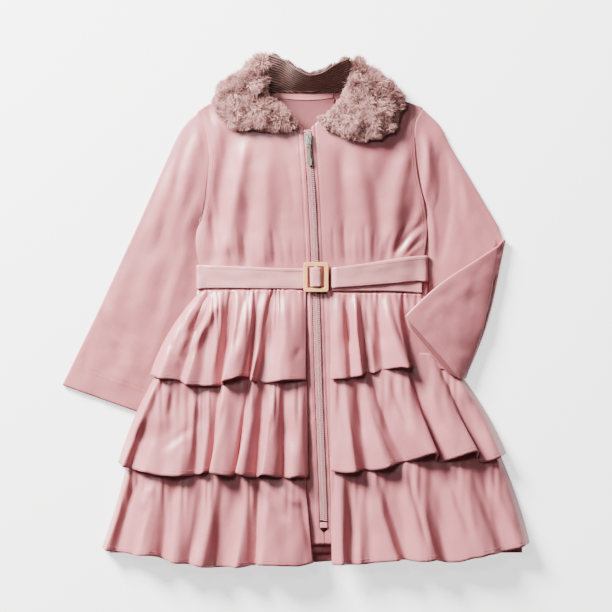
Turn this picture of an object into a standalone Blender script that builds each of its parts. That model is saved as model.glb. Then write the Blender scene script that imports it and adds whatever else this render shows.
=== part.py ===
"""A child's belted coat with a fur collar, full front zip and three ruffled skirt tiers.

The coat lies flat on its back.  X runs to the viewer's right, Y runs from hem to collar and Z is up
from the floor.  The outlines below are given on a chart whose unit is 1.15 mm of coat, with x to the
right and y down from above the collar; `place` turns chart units into metres.
"""
import math

import bmesh
import bpy
import numpy as np

CHART_UNIT = 0.00115
CHART_MID_X, CHART_MID_Y = 295.6, 311.1

WALL = 0.0016
SEAM_GAP = 0.0003
LAYER = WALL + SEAM_GAP
SKIRT_LAYER = 0.0025
BELT_WALL = 0.0015
TAPE_WALL = 0.0008
SLEEVE_DEPTH = 0.0026
ELBOW_RADIUS = 0.0010
ZIP_HALF_OPENING = 4.4
CHAIN_HALF_WIDTH = 3.6
CHAIN_WALL = 0.0022

for thing in list(bpy.data.objects):
    bpy.data.objects.remove(thing, do_unlink=True)

coat_parts = bpy.data.collections.new("ruffled_coat")
bpy.context.scene.collection.children.link(coat_parts)


def material(name, colour, roughness, metallic=0.0):
    made = bpy.data.materials.new(name)
    made.use_nodes = True
    shader = made.node_tree.nodes["Principled BSDF"]
    shader.inputs["Base Color"].default_value = (*colour, 1.0)
    shader.inputs["Roughness"].default_value = roughness
    shader.inputs["Metallic"].default_value = metallic
    return made


COAT_CLOTH = material("dusty_pink_cloth", (0.66, 0.38, 0.39), 0.55)
BELT_CLOTH = material("pale_pink_belt_cloth", (0.72, 0.46, 0.47), 0.5)
COLLAR_FUR = material("mauve_fur", (0.42, 0.23, 0.21), 0.95)
LINING_RIB = material("brown_rib_lining", (0.20, 0.10, 0.08), 0.9)
ZIP_CLOTH = material("zip_tape_pink", (0.55, 0.30, 0.31), 0.7)
ZIP_TEETH = material("rose_zip_chain", (0.45, 0.25, 0.26), 0.45)
SILVER = material("silver_metal", (0.62, 0.60, 0.57), 0.3, 1.0)
HORN = material("cream_gold_buckle", (0.68, 0.46, 0.28), 0.3)


def ease(start, end, value):
    part = np.clip((np.asarray(value, float) - start) / (end - start), 0.0, 1.0)
    return part * part * (3 - 2 * part)


def along(table, at):
    """Smooth curve through the rows of a (position, value) table, flat beyond its ends."""
    pos = np.array([row[0] for row in table], float)
    val = np.array([row[1] for row in table], float)
    slope = np.gradient(val, pos)
    at = np.clip(np.asarray(at, float), pos[0], pos[-1])
    i = np.clip(np.searchsorted(pos, at, side="right") - 1, 0, len(pos) - 2)
    span = pos[i + 1] - pos[i]
    t = (at - pos[i]) / span
    return ((2 * t**3 - 3 * t**2 + 1) * val[i] + (t**3 - 2 * t**2 + t) * span * slope[i]
            + (3 * t**2 - 2 * t**3) * val[i + 1] + (t**3 - t**2) * span * slope[i + 1])


def place(x, y, z):
    """Chart x, y and height z in metres, as a point array in metres."""
    x, y, z = np.broadcast_arrays(np.asarray(x, float), y, z)
    return np.stack([(x - CHART_MID_X) * CHART_UNIT, (CHART_MID_Y - y) * CHART_UNIT, z], axis=-1)


def add_mesh(name, points, faces, look):
    mesh = bpy.data.meshes.new(name)
    mesh.from_pydata([tuple(map(float, p)) for p in points], [], faces)
    mesh.update()
    made = bpy.data.objects.new(name, mesh)
    made.data.materials.append(look)
    coat_parts.objects.link(made)
    return made


def sheet(name, grid, look, wall=WALL, tube=False):
    """A cloth sheet: a grid of middle-surface points given its wall on both sides."""
    rows, columns = grid.shape[:2]
    last = columns if tube else columns - 1
    faces = [(r * columns + c, r * columns + (c + 1) % columns,
              (r + 1) * columns + (c + 1) % columns, (r + 1) * columns + c)
             for r in range(rows - 1) for c in range(last)]
    made = add_mesh(name, grid.reshape(-1, 3), faces, look)
    solid = made.modifiers.new("wall", "SOLIDIFY")
    solid.thickness = wall
    solid.offset = 0.0
    solid.use_even_offset = not tube
    return made


def slab(name, upper, lower, look):
    """A closed solid between an upper and a lower grid that share their plan."""
    rows, columns = upper.shape[:2]
    count = rows * columns
    points = np.concatenate([upper.reshape(-1, 3), lower.reshape(-1, 3)])
    faces = []
    for r in range(rows - 1):
        for c in range(columns - 1):
            a, b = r * columns + c, r * columns + c + 1
            d, e = (r + 1) * columns + c, (r + 1) * columns + c + 1
            faces += [(a, b, e, d), (count + d, count + e, count + b, count + a)]
    rim = ([c for c in range(columns)] + [r * columns + columns - 1 for r in range(1, rows)]
           + [(rows - 1) * columns + c for c in range(columns - 2, -1, -1)]
           + [r * columns for r in range(rows - 2, 0, -1)])
    for a, b in zip(rim, rim[1:] + rim[:1]):
        faces.append((b, a, count + a, count + b))
    made = add_mesh(name, points, faces, look)
    face_outwards(made)
    return made


def face_outwards(made):
    work = bmesh.new()
    work.from_mesh(made.data)
    bmesh.ops.recalc_face_normals(work, faces=work.faces)
    work.to_mesh(made.data)
    work.free()


# Centre line of the zip: chart y, chart x.
ZIP_LINE = [(92, 305), (128, 307), (200, 312), (300, 316), (400, 319), (450, 321), (500, 323),
            (560, 325)]

# Side edges of the body from armhole to waist: chart y, chart x.
BODY_LEFT = [(88, 197), (111, 197), (125, 203), (140, 207), (158, 208.5), (183, 206), (212, 202),
             (222, 198.5), (241, 195.5), (266, 199.5), (277, 202)]
BODY_RIGHT = [(88, 423), (107, 423), (119, 417.5), (151, 416), (183, 420), (201, 424.6),
              (227, 428), (260, 424.5), (277, 422)]

# Side edges of the plain skirt that carries the tiers: chart y, chart x.
SKIRT_LEFT = [(277, 209), (290, 207.5), (298, 203), (310, 193), (328, 179.5), (345, 174), (375, 166.5),
              (405, 148), (440, 138), (465, 135.5), (485, 130), (515, 119), (548, 109.5)]
SKIRT_RIGHT = [(277, 416.5), (294, 417.5), (316, 426), (345, 437), (362, 443.5), (378, 453), (396, 468),
               (430, 482), (442, 488), (455, 493.5), (480, 502), (515, 514), (548, 522.5)]

# Height of the front above the back along the zip: chart y, metres.
FRONT_RISE = [(88, 0.004), (128, 0.012), (170, 0.0165), (220, 0.0145), (277, 0.0095),
              (310, 0.008), (345, 0.007), (465, 0.007), (550, 0.0055)]

# Soft folds pressed into the bodice fronts: start x, y, end x, y, half width, depth (+ is a ridge).
BODICE_FOLDS = [
    (224, 132, 214, 262, 9.0, -0.0022),
    (244, 150, 228, 250, 8.0, 0.0016),
    (267, 160, 262, 262, 10.0, 0.0010),
    (252, 200, 244, 268, 7.0, -0.0014),
    (284, 140, 290, 230, 9.0, -0.0008),
    (340, 150, 352, 262, 10.0, -0.0010),
    (412, 150, 392, 240, 8.0, 0.0016),
    (424, 215, 396, 252, 6.0, -0.0016),
    (426, 240, 400, 262, 5.0, 0.0012),
    (372, 170, 380, 262, 9.0, -0.0012),
]


def side_part(x, y, left, right):
    """0 on the zip line, 1 on the side edge."""
    middle = along(ZIP_LINE, y)
    return np.clip(np.where(x < middle, (middle - x) / (middle - along(left, y)),
                            (x - middle) / (along(right, y) - middle)), 0.0, 1.0)


def side_lift(x, y):
    """Rise of the skirt's left side where it lies over the straight sleeve."""
    inside = x - along(SKIRT_LEFT, y)
    return 0.0060 * ease(288, 312, y) * (1 - ease(417, 441, y)) * (1 - ease(6, 44, inside))


def back_height(x, y):
    """Middle surface of the back: flat on the floor, lifted over the belt and the back tiers."""
    u = side_part(x, y, SKIRT_LEFT, SKIRT_RIGHT)
    return (0.5 * WALL + LAYER * ease(222, 253, y) + SKIRT_LAYER * ease(289, 312, y)
            + 0.0030 * ease(289, 330, y) * (1 - u**6) + side_lift(x, y))


def shoulder_line(x):
    return along([(190, 113), (208, 103.5), (258, 88), (310, 80), (360, 86), (409, 101),
                  (430, 109)], x)


def front_height(x, y):
    """Middle surface of the fronts, arching from the side edges up to the zip."""
    in_skirt = ease(272, 282, y)
    u = (side_part(x, y, BODY_LEFT, BODY_RIGHT) * (1 - in_skirt)
         + side_part(x, y, SKIRT_LEFT, SKIRT_RIGHT) * in_skirt)
    armhole = 0.0040 * np.clip(1 - ((y - 164) / 56.0) ** 2, 0, 1) * u**4
    arch = along(FRONT_RISE, y) * (1 - u**2.4) * ease(0, 34, y - shoulder_line(x))
    folds = 0.0
    for x0, y0, x1, y1, half, depth in BODICE_FOLDS:
        run = np.clip((y - y0) / (y1 - y0), 0, 1)
        off = (x - (x0 + (x1 - x0) * run)) / half
        ends = ease(y0 - 12, y0 + 14, y) * (1 - ease(y1 - 6, y1 + 8, y))
        folds = folds + depth * np.exp(-off * off) * ends
    return back_height(x, y) + LAYER + arch + armhole + folds * (1 - u**8)


# Upper edge of the pieces as chart y, read across from the armhole (0) to the middle (1).
FRONT_TOP_LEFT = [(0, 111), (0.1, 104.5), (0.3, 97.5), (0.5, 92), (0.62, 94), (0.8, 109), (1, 128)]
FRONT_TOP_RIGHT = [(0, 107), (0.12, 102.5), (0.3, 97.5), (0.5, 92), (0.62, 94), (0.8, 109),
                   (1, 128)]
BACK_TOP = [(0, 111), (0.05, 104.5), (0.18, 96), (0.28, 90), (0.36, 90.5), (0.5, 91.5),
            (0.64, 90.5), (0.72, 90), (0.82, 96), (0.95, 102.5), (1, 107)]
WAIST = 277.0


def front(name, left):
    across = np.linspace(0, 1, 13)
    down = np.linspace(0, 1, 13)
    top = along(FRONT_TOP_LEFT if left else FRONT_TOP_RIGHT, across)
    y = top[None, :] + (WAIST - top)[None, :] * down[:, None]
    side = along(BODY_LEFT if left else BODY_RIGHT, y)
    middle = along(ZIP_LINE, y) + (-ZIP_HALF_OPENING if left else ZIP_HALF_OPENING)
    x = side + (middle - side) * across[None, :]
    return sheet(name, place(x, y, front_height(x, y)), COAT_CLOTH)


def back_bodice():
    across = np.linspace(0, 1, 15)
    down = np.array([0, 0.1, 0.22, 0.36, 0.5, 0.64, 0.74, 0.80, 0.86, 0.93, 1.0])
    top = along(BACK_TOP, across)
    y = top[None, :] + (WAIST - top)[None, :] * down[:, None]
    x = along(BODY_LEFT, y) + 1.0 + (along(BODY_RIGHT, y) - along(BODY_LEFT, y) - 2.0) * across
    return sheet("back_bodice", place(x, y, back_height(x, y)), COAT_CLOTH)


def skirt_front(name, left):
    across = np.array([0, 0.05, 0.1, 0.15, 0.21, 0.3, 0.45, 0.62, 0.8, 1.0])
    y = np.array([277.5, 288, 296, 304, 313, 330, 358, 385, 410, 418, 430, 441, 470, 504, 528, 533,
                  544])
    opening = ZIP_HALF_OPENING - 4.1 * ease(528, 533, y)
    middle = along(ZIP_LINE, y) + (-opening if left else opening)
    side = along(SKIRT_LEFT if left else SKIRT_RIGHT, y)
    x = side[:, None] + (middle - side)[:, None] * across[None, :]
    y = np.repeat(y[:, None], len(across), 1)
    return sheet(name, place(x, y, front_height(x, y)), COAT_CLOTH)


def skirt_back():
    across = np.array([0, 0.025, 0.05, 0.075, 0.105, 0.15, 0.24, 0.36, 0.5, 0.64, 0.76, 0.85, 0.92, 1.0])
    y = np.array([277.5, 288, 296, 304, 313, 330, 358, 385, 410, 418, 430, 441, 470, 510, 553])
    left, right = along(SKIRT_LEFT, y), along(SKIRT_RIGHT, y)
    x = left[:, None] + (right - left)[:, None] * across[None, :]
    y = np.repeat(y[:, None], len(across), 1)
    return sheet("skirt_back", place(x, y, back_height(x, y)), COAT_CLOTH)


# Front ruffles.  One row per fold: x at the gathered top, x at the hem, sideways bow of the fold,
# y of the hem, and height in mm above the skirt at the hem.  The row at the side has height None:
# there the ruffle turns down to meet its back half.
TIER_1_LEFT = [
    (201, 150, -6.5, 375.0, None), (205, 160, -5, 377.0, 10), (209, 172, -3, 379.0, 8),
    (212, 181, -2, 381.0, 6.6), (215, 188, -1, 384.0, 11.5), (218, 200, 0, 385.0, 9),
    (222, 214, 0, 385.0, 10.5), (232, 222, 0, 384.5, 6.4), (239, 226, 0, 381.0, 15),
    (247, 237, 0, 378.5, 17), (254, 245, 0, 376.0, 14), (260, 249, 0, 377.5, 6.4),
    (268, 254, 0, 380.0, 13.5), (275, 258.5, 0, 381.5, 6.2), (281, 269, 0, 382.0, 7.5),
    (286, 280, 0, 381.0, 12), (292, 290, 0, 380.0, 12.5), (299, 299, 0, 379.5, 9),
    (306, 306, 0, 380.0, 6.8)]
TIER_1_RIGHT = [
    (330, 331, 0, 379.5, 6.8), (336, 339, 0, 378.5, 10), (342, 346, 0, 377.5, 9.5),
    (347, 351, 0, 376.5, 7), (355, 358, 0, 374.5, 14), (360, 367, 0, 373.0, 6.4),
    (366, 374, 0, 373.0, 8.4), (373, 384, 0, 369.5, 6.4), (379, 397, -1.5, 367.0, 15),
    (388, 402, -1, 367.5, 17), (396, 406.5, 0, 366.5, 13), (401, 411, 0, 367.0, 6.2),
    (406, 421, 0, 368.0, 5.8), (414, 437, 0, 369.5, 5.6), (420, 455, 0, 370.5, 5.0),
    (423.5, 461, 2, 371.0, None)]
TIER_2_LEFT = [
    (162, 118, -4, 463.0, None), (166, 124.5, -3, 466.5, 11), (170, 131, -1, 468.5, 6.8),
    (178, 146, 0, 471.0, 12), (185, 165, 0, 474.5, 13), (195, 184, 0, 475.0, 15),
    (201, 195, 0, 474.0, 7.4), (212, 205, 0, 472.5, 12.5), (221, 211, 0, 471.0, 6.4),
    (226, 214, 0, 471.0, 15), (236, 224, 0, 473.5, 16), (246, 233, 0, 475.0, 12),
    (251, 236.5, 0, 471.0, 6.4), (255, 240, 0, 471.0, 15), (260, 248, 0, 474.0, 16),
    (266, 256, 0, 476.5, 7), (275, 266, 0, 473.5, 16), (281, 277, 0, 475.5, 13),
    (286, 283, 0, 477.0, 6.2), (292, 292, 0, 477.0, 12), (300, 301, 0, 475.5, 12),
    (307, 308, 0, 476.5, 6.8)]
TIER_2_RIGHT = [
    (330, 331, 0, 470.5, 6.8), (336, 341, 0, 471.5, 11), (344, 352, 0, 470.5, 15),
    (354, 366, -1, 470.0, 6.4), (363, 382, -3, 467.5, 15), (367, 393, -5, 463.5, 11),
    (369.5, 406, -6, 462.0, 6.6), (372, 419, -6, 456.0, 14), (385, 426, -2, 452.8, 18),
    (399, 433.5, 0, 453.0, 15), (404, 438.5, 0, 462.0, 6.2), (416, 453, 0, 457.0, 14),
    (428, 473, 0, 451.0, 15), (434, 479, 1, 461.5, 6.6), (438, 491, 3, 460.0, 10.5),
    (442, 500, 4, 457.0, 10), (446, 506.5, 5, 453.5, None)]
TIER_3_LEFT = [
    (130, 102, 1.5, 548.0, None), (134, 107, 1, 550.0, 11), (141, 116, 0, 552.0, 6.8),
    (150, 133, 0, 553.5, 8.6), (159, 142, 0, 554.0, 14), (166, 151, 0, 555.0, 13),
    (173, 163, 0, 558.0, 6.6), (179, 174, 0, 561.0, 13.5), (189, 181, 0, 562.5, 14),
    (202, 189, 0, 563.5, 8.6), (211, 197, 0, 564.0, 13), (219, 206, 0, 565.5, 15),
    (226, 214, 0, 566.5, 6.4), (236, 226, 0, 566.5, 6.6), (250, 239, 0, 566.0, 13.5),
    (256, 248, 0, 565.5, 8), (260, 256, 0, 564.5, 6.2), (265, 262, 0, 564.0, 15),
    (279, 283, 0, 564.0, 15), (293, 300, 0, 564.8, 12), (304, 313, 0, 563.0, 7)]
TIER_3_RIGHT = [
    (330, 332, 0, 563.0, 7), (344, 339, 0, 563.5, 13.5), (352, 351, 0, 564.0, 6.6),
    (359, 360, 0, 563.5, 9), (366, 371, 0, 562.5, 6.6), (373, 393, -3, 560.0, 14),
    (383, 403, -2, 559.0, 6.8), (393, 410, -1, 559.5, 8.4), (400, 416, 0, 560.0, 15),
    (407, 425, 0, 560.0, 16), (414, 433, 0, 560.0, 13), (424, 445, 0, 561.5, 6.6),
    (434, 456, 0, 561.0, 10), (448, 474, 0, 556.5, 14.5), (463, 491, 0, 553.5, 13),
    (473, 503, 0, 551.0, 7.8), (482, 516, 0, 548.0, 11.5), (490, 525.5, 0, 545.0, 8.5),
    (494, 530, 3, 543.0, None)]

# Gathered top edge of each tier: chart y across the coat at chart x.
TIER_TOPS = {
    1: [(195, 290.4), (240, 289.9), (306, 290.4), (330, 292.4), (406, 293.6), (424, 294.4)],
    2: [(150, 363), (200, 370), (240, 367), (300, 366), (340, 364), (380, 358), (400, 353),
        (450, 356)],
    3: [(125, 450), (160, 459), (200, 460), (300, 461), (340, 456), (380, 453), (420, 440),
        (440, 439.5), (500, 441)],
}
TIER_ROWS = {1: [0.0, 0.10, 0.24, 0.48, 0.75, 1.0], 2: [0.0, 0.16, 0.42, 0.54, 0.66, 0.78, 1.0],
             3: [0.0, 0.16, 0.42, 0.72, 1.0]}
SIDE_TURN_HEIGHT = 0.5 * WALL + LAYER


def between(values):
    """Insert a smooth middle value between neighbouring fold values along the last axis."""
    first = 2 * values[:, :1] - values[:, 1:2]
    last = 2 * values[:, -1:] - values[:, -2:-1]
    padded = np.concatenate([first, values, last], axis=1)
    middle = (9 * (padded[:, 1:-2] + padded[:, 2:-1]) - padded[:, :-3] - padded[:, 3:]) / 16
    out = np.empty((values.shape[0], 2 * values.shape[1] - 1))
    out[:, 0::2] = values
    out[:, 1::2] = middle
    return out


def ruffle(name, tier, folds, rows=None):
    v = np.array(rows or TIER_ROWS[tier])[:, None]
    x_top, x_hem, bow, y_hem = (np.array([row[i] for row in folds], float)[None, :]
                                for i in range(4))
    turned = np.array([row[4] is None for row in folds])[None, :]
    height = np.array([0.0 if row[4] is None else row[4] * 0.001 for row in folds])[None, :]
    x = x_top + (x_hem - x_top) * v + bow * 4 * v * (1 - v)
    y_top = along(TIER_TOPS[tier], x_top)
    y = y_top + (y_hem - y_top) * v
    start = 0.0023
    z = front_height(x, y) + start + (height - start) * v**1.25
    z = np.where(turned, SIDE_TURN_HEIGHT + side_lift(x, y), z)
    return sheet(name, place(between(x), between(y), between(z)), COAT_CLOTH)


# Back ruffles: tier, left and right x at the top and at the hem, y of the hem at the left, middle
# and right, and number of gathers across.
BACK_TOP_1 = (291.5, 285.5)
BACK_TIERS = [
    (1, 203, 421, 152.5, 460.5, 375, 381, 371, 10),
    (2, 164, 442, 120.5, 503.5, 463, 474, 453, 12),
    (3, 134, 490, 104.5, 527.5, 548, 563, 543, 14),
]


def back_ruffle(tier, left_top, right_top, left_hem, right_hem, hem_l, hem_m, hem_r, gathers):
    bows = {1: (-6.0, 2.0), 2: (-3.0, 5.0), 3: (1.5, 1.0)}[tier]
    a = np.linspace(0, 1, 3 * gathers + 1)[None, :]
    rows = {1: [0.0, 0.10, 0.24, 0.58, 1.0], 2: [0.0, 0.18, 0.30, 0.54, 0.66, 0.78, 1.0],
            3: [0.0, 0.18, 0.30, 0.62, 1.0]}
    v = np.array(rows[tier])[:, None]
    bow = (bows[0] * (1 - a) + bows[1] * a) * 4 * v * (1 - v)
    x_top = left_top + (right_top - left_top) * a
    x_hem = left_hem + (right_hem - left_hem) * a
    x = x_top * (1 - v) + x_hem * v + bow
    y_hem = np.interp(a, [0, 0.5, 1], [hem_l, hem_m, hem_r])
    y_top = BACK_TOP_1[0] + (BACK_TOP_1[1] - BACK_TOP_1[0]) * a if tier == 1 else along(
        TIER_TOPS[tier], x_top)
    y = y_top + (y_hem - y_top) * v
    flat = 1 - np.abs(2 * a - 1) ** 6
    calm = 1 - np.abs(2 * a - 1) ** 2
    wave = 0.5 - 0.5 * np.cos(2 * math.pi * gathers * a)
    under = 0.0 if tier == 1 else 1 - ease(0.19, 0.30, v)
    z = (0.5 * WALL + 0.0022 * wave * calm * ease(0.0, 0.7, v)
         + under * (0.0023 + 0.0020 * flat) + side_lift(x, y))
    return sheet(f"tier_{tier}_back", place(x, y, z), COAT_CLOTH)


# Sleeve outlines in plan: position along the sleeve, outer x, y, inner x, y.
LEFT_SLEEVE = [
    (0.00, 196.3, 112.0, 197.3, 222.0), (0.07, 186.5, 121.0, 194.6, 232.0),
    (0.15, 177.5, 134.5, 193.0, 243.0), (0.24, 167.3, 158.0, 193.8, 258.0),
    (0.36, 150.5, 196.0, 194.6, 276.0), (0.46, 138.0, 224.0, 193.6, 293.0),
    (0.60, 114.5, 275.0, 184.0, 325.0), (0.72, 97.5, 312.0, 174.5, 347.0),
    (0.86, 79.0, 350.0, 159.5, 379.0), (1.00, 61.8, 385.5, 142.0, 414.0)]
RIGHT_UPPER = [
    (0.00, 423.7, 108.0, 426.0, 202.0), (0.12, 438.5, 122.5, 430.0, 218.0),
    (0.30, 451.0, 147.0, 430.2, 245.0), (0.50, 468.0, 175.0, 430.4, 280.0),
    (0.72, 484.0, 202.0, 440.0, 312.0), (0.88, 497.0, 224.0, 457.0, 344.0),
    (1.00, 506.5, 240.5, 467.0, 377.0)]
# Forearm folded back over the skirt, from the elbow fold to the cuff.
RIGHT_FOREARM = [
    (0.00, 506.5, 240.5, 467.0, 377.0), (0.20, 489.5, 251.5, 466.0, 378.0),
    (0.40, 468.5, 265.0, 464.9, 378.7), (0.60, 446.0, 279.5, 463.7, 379.0),
    (0.80, 424.0, 297.5, 462.4, 379.2), (1.00, 404.8, 316.3, 461.0, 379.3)]
RING = 18


def ring_shape():
    """Positions round a flattened sleeve: share across the width and share of the depth."""
    turn = np.linspace(0, 2 * math.pi, RING, endpoint=False)
    across = 0.5 - 0.5 * np.sign(np.cos(turn)) * np.abs(np.cos(turn)) ** 0.8
    depth = 0.5 + 0.5 * np.sign(np.sin(turn)) * np.abs(np.sin(turn)) ** 0.45
    return across, depth


def plan_ring(table, t, across, armhole=None, gap=0.0):
    """Plan of one ring; near the shoulder it takes the curve of the armhole it is sewn to."""
    def straight(at):
        out_x, out_y, in_x, in_y = (along([(row[0], row[i]) for row in table], at)
                                    for i in (1, 2, 3, 4))
        return out_x + (in_x - out_x) * across, out_y + (in_y - out_y) * across

    x, y = straight(t)
    if armhole is not None:
        start_x, start_y = straight(0.0)
        x = x + (along(armhole, start_y) + gap - start_x) * (1 - ease(0, 0.3, t))
    return x, y


def sleeve_left():
    across, depth = ring_shape()
    rings = []
    for t in np.array([0, 0.04, 0.09, 0.15, 0.22, 0.3, 0.39, 0.48, 0.57, 0.66, 0.75, 0.84, 0.93, 1.0]):
        x, y = plan_ring(LEFT_SLEEVE, t, across, BODY_LEFT, -1.1)
        bulge = (0.0038 * (1 - ease(0, 0.5, t)) + 0.0010) * 4 * across * (1 - across)
        crease = 0.0009 * np.exp(-((across - 0.42) / 0.09) ** 2) * ease(0.45, 0.75, t)
        rings.append(place(x, y, 0.5 * WALL + depth * (SLEEVE_DEPTH + bulge - crease)))
    return sheet("sleeve_left", np.array(rings), COAT_CLOTH, tube=True)


def sleeve_right():
    across, depth = ring_shape()
    rings = []
    for t in (0, 0.06, 0.14, 0.24, 0.36, 0.5, 0.64, 0.78, 0.9):
        x, y = plan_ring(RIGHT_UPPER, t, across, BODY_RIGHT, 1.1)
        bulge = 0.0040 * (1 - ease(0, 0.6, t)) * 4 * across * (1 - across)
        rings.append(place(x, y, 0.5 * WALL + depth * (SLEEVE_DEPTH + bulge)))
    fold_x, fold_y = plan_ring(RIGHT_UPPER, 1.0, across)
    run = np.array([467.0 - 506.5, -(377.0 - 240.5)])
    run = run / np.linalg.norm(run)
    outward = np.array([-run[1], run[0]])
    axis_height = 0.5 * WALL + SLEEVE_DEPTH + ELBOW_RADIUS
    radius = ELBOW_RADIUS + (1 - depth) * SLEEVE_DEPTH
    for turn in np.radians([-90, -45, 0, 45, 90]):
        ring = place(fold_x, fold_y, axis_height + radius * math.sin(turn))
        ring[:, 0] += outward[0] * (radius * math.cos(turn) - 0.0036)
        ring[:, 1] += outward[1] * (radius * math.cos(turn) - 0.0036)
        rings.append(ring)
    for t in (0.1, 0.25, 0.42, 0.6, 0.8, 1.0):
        x, y = plan_ring(RIGHT_FOREARM, t, across)
        away = fold_distance(x, y)
        rise = 6.0 + 14.0 * (1 - across)
        lift = 0.0090 * (1 - np.exp(-away / rise)) + 0.00014 * away
        rings.append(place(x, y, axis_height + radius + lift))
    return sheet("sleeve_right", np.array(rings), COAT_CLOTH, tube=True)


def fold_distance(x, y):
    """Chart distance from the elbow fold line, positive over the body."""
    dx, dy = 467.0 - 506.5, 377.0 - 240.5
    length = math.hypot(dx, dy)
    return np.clip(((x - 506.5) * -dy + (y - 240.5) * dx) / length, 0, None)


# Fur collar lengths over the fronts: inner x, y (roll line), outer x, y (free edge), depth in mm.
FUR_LEFT = [
    (299.5, 126.5, 293, 130.5, 8), (292.5, 117.5, 275, 131.8, 13), (286, 107, 252, 133, 16),
    (277.5, 98.5, 230, 130.5, 19), (273, 93, 214.5, 118, 22), (271.6, 88, 208.3, 103.5, 25),
    (271.3, 82, 210, 93, 28), (271.3, 76, 222, 79.5, 30), (271, 70, 240, 67.5, 30),
    (270.8, 64, 257, 58.5, 28), (270.7, 59.5, 268.5, 55.5, 24)]
FUR_RIGHT = [
    (318.5, 121, 322.5, 129, 8), (320.5, 116.5, 335, 134.3, 13), (325.5, 110.5, 352, 140, 16),
    (331, 103.5, 372, 142.3, 19), (336, 96.5, 392, 137.5, 22), (339, 90, 404.5, 121, 25),
    (341.5, 84, 409, 100, 28), (343.5, 78, 403, 87.5, 30), (346, 71.5, 388, 76.7, 30),
    (348.3, 65, 372, 66.3, 28), (350.3, 60, 358, 58.7, 24)]
COLLAR_TOP = [(270, 55.2), (283, 60), (297, 70), (310, 75.3), (320, 74), (335, 65), (349, 57.6)]
NECK_SEAM = 90.0
COLLAR_STAND = 0.0240


def fur_length(name, table):
    stations = np.linspace(0, len(table) - 1, 19)
    index = [(i, row) for i, row in enumerate(table)]
    in_x, in_y, out_x, out_y, depth = (along([(i, row[c]) for i, row in index], stations)[:, None]
                                       for c in range(5))
    r = np.array([0.0, 0.06, 0.2, 0.42, 0.66, 0.86, 1.0])[None, :]
    x = in_x + (out_x - in_x) * r
    y = in_y + (out_y - in_y) * r
    past_shoulder = ease(3.0, 9.0, shoulder_line(x) - y)
    low = (front_height(x, y) + 0.5 * WALL + 0.0015) * (1 - past_shoulder) + 0.0006 * past_shoulder
    dome = np.sin(math.pi * np.clip(r, 0, 1)) ** 0.5 * (1 - 0.25 * r)
    ends = np.sqrt(np.clip(stations / 2.0, 0.0, 1.0))[:, None]
    high = low + 0.002 + (depth * 0.001 - 0.002) * dome * (0.35 + 0.65 * ends)
    return slab(name, place(x, y, high), place(x, y, low), COLLAR_FUR)


def collar_back_height(x, y):
    top = along(COLLAR_TOP, x)
    return 0.0030 + COLLAR_STAND * np.clip((NECK_SEAM - y) / (NECK_SEAM - top), 0, 1)


def collar_grid(columns, rows, inset):
    share = np.linspace(0, 1, columns)[None, :]
    down = np.linspace(0, 1, rows)[:, None]
    left = np.full((1, 1), 273.0)
    x_top = left + (347.0 - 273.0) * share
    x_low = left + inset + (336.5 - 273.0 - inset) * share
    y_top = along(COLLAR_TOP, x_top) + 0.6
    y = y_top + (NECK_SEAM - inset - y_top) * down
    return x_top + (x_low - x_top) * down, y


def collar_lining():
    x, y = collar_grid(13, 5, 0.0)
    return sheet("collar_lining", place(x, y, collar_back_height(x, y)), LINING_RIB)


def fur_back():
    x, y = collar_grid(13, 5, 0.0)
    high = collar_back_height(x, y) - 0.0019
    return slab("fur_back", place(x, y, high), place(x, y, 0 * x + 0.0002 - 0.0), COLLAR_FUR)


def neck_tape():
    x = np.linspace(275.5, 333.5, 9)[None, :]
    centre = along([(274, 94.4), (300, 97.2), (318, 96.8), (335, 94.6)], x)
    y = centre + np.array([-2.6, 0.0, 2.6])[:, None]
    x = np.repeat(x, 3, 0)
    return sheet("neck_tape", place(x, y, back_height(x, y) + 0.5 * WALL + SEAM_GAP + 0.0004),
                 ZIP_CLOTH, TAPE_WALL)


ZIP_TOP, ZIP_END = 130.0, 521.0
ZIP_ROWS = np.concatenate([np.linspace(ZIP_TOP, 265, 12), [277.5, 288, 296, 304, 313, 330],
                           np.linspace(350, ZIP_END, 7)])


def zip_tape(name, left):
    y = ZIP_ROWS[:, None]
    sign = -1 if left else 1
    x = along(ZIP_LINE, y) + sign * np.array([0.6, 4.4, 12.0])[None, :]
    y = np.repeat(y, 3, 1)
    z = front_height(x, y) - 0.5 * WALL - SEAM_GAP - 0.5 * TAPE_WALL - 0.0004
    return sheet(name, place(x, y, z), ZIP_CLOTH, TAPE_WALL)


def chain_height(y):
    x = along(ZIP_LINE, y)
    return front_height(x, y) + 0.0003


def zip_chain():
    y = ZIP_ROWS[:, None]
    x = along(ZIP_LINE, y) + np.array([-CHAIN_HALF_WIDTH, 0, CHAIN_HALF_WIDTH])[None, :]
    y = np.repeat(y, 3, 1)
    return sheet("zip_chain", place(x, y, chain_height(y)), ZIP_TEETH, CHAIN_WALL)


def zip_stop():
    y = np.array([522.0, 524.8, 527.6])[:, None]
    x = along(ZIP_LINE, y) + np.array([-3.7, 0, 3.7])[None, :]
    y = np.repeat(y, 3, 1)
    return sheet("zip_stop", place(x, y, chain_height(y)), ZIP_CLOTH, 0.0018)


# Slider and pull are drawn in mm on the zip: across, down the zip, and up from the slider's top.
SLIDER_AT = 141.0
SLIDER_OUTLINE = [(-3.9, -8.0), (3.9, -8.0), (4.3, -3.0), (3.6, 4.0), (2.8, 8.0), (-2.8, 8.0),
                  (-3.6, 4.0), (-4.3, -3.0)]
SLIDER_WALL = 1.9
BRIDGE_PATH = [(-5.2, -0.6), (-4.9, 1.6), (-3.4, 3.2), (0.0, 3.6), (3.6, 3.5), (5.6, 2.6),
               (6.5, 0.9), (6.6, -0.6)]
BRIDGE_HALF = 0.65
HINGE_AT = (0.0, 4.1, 1.55)
PULL_WALL = 1.1


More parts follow.
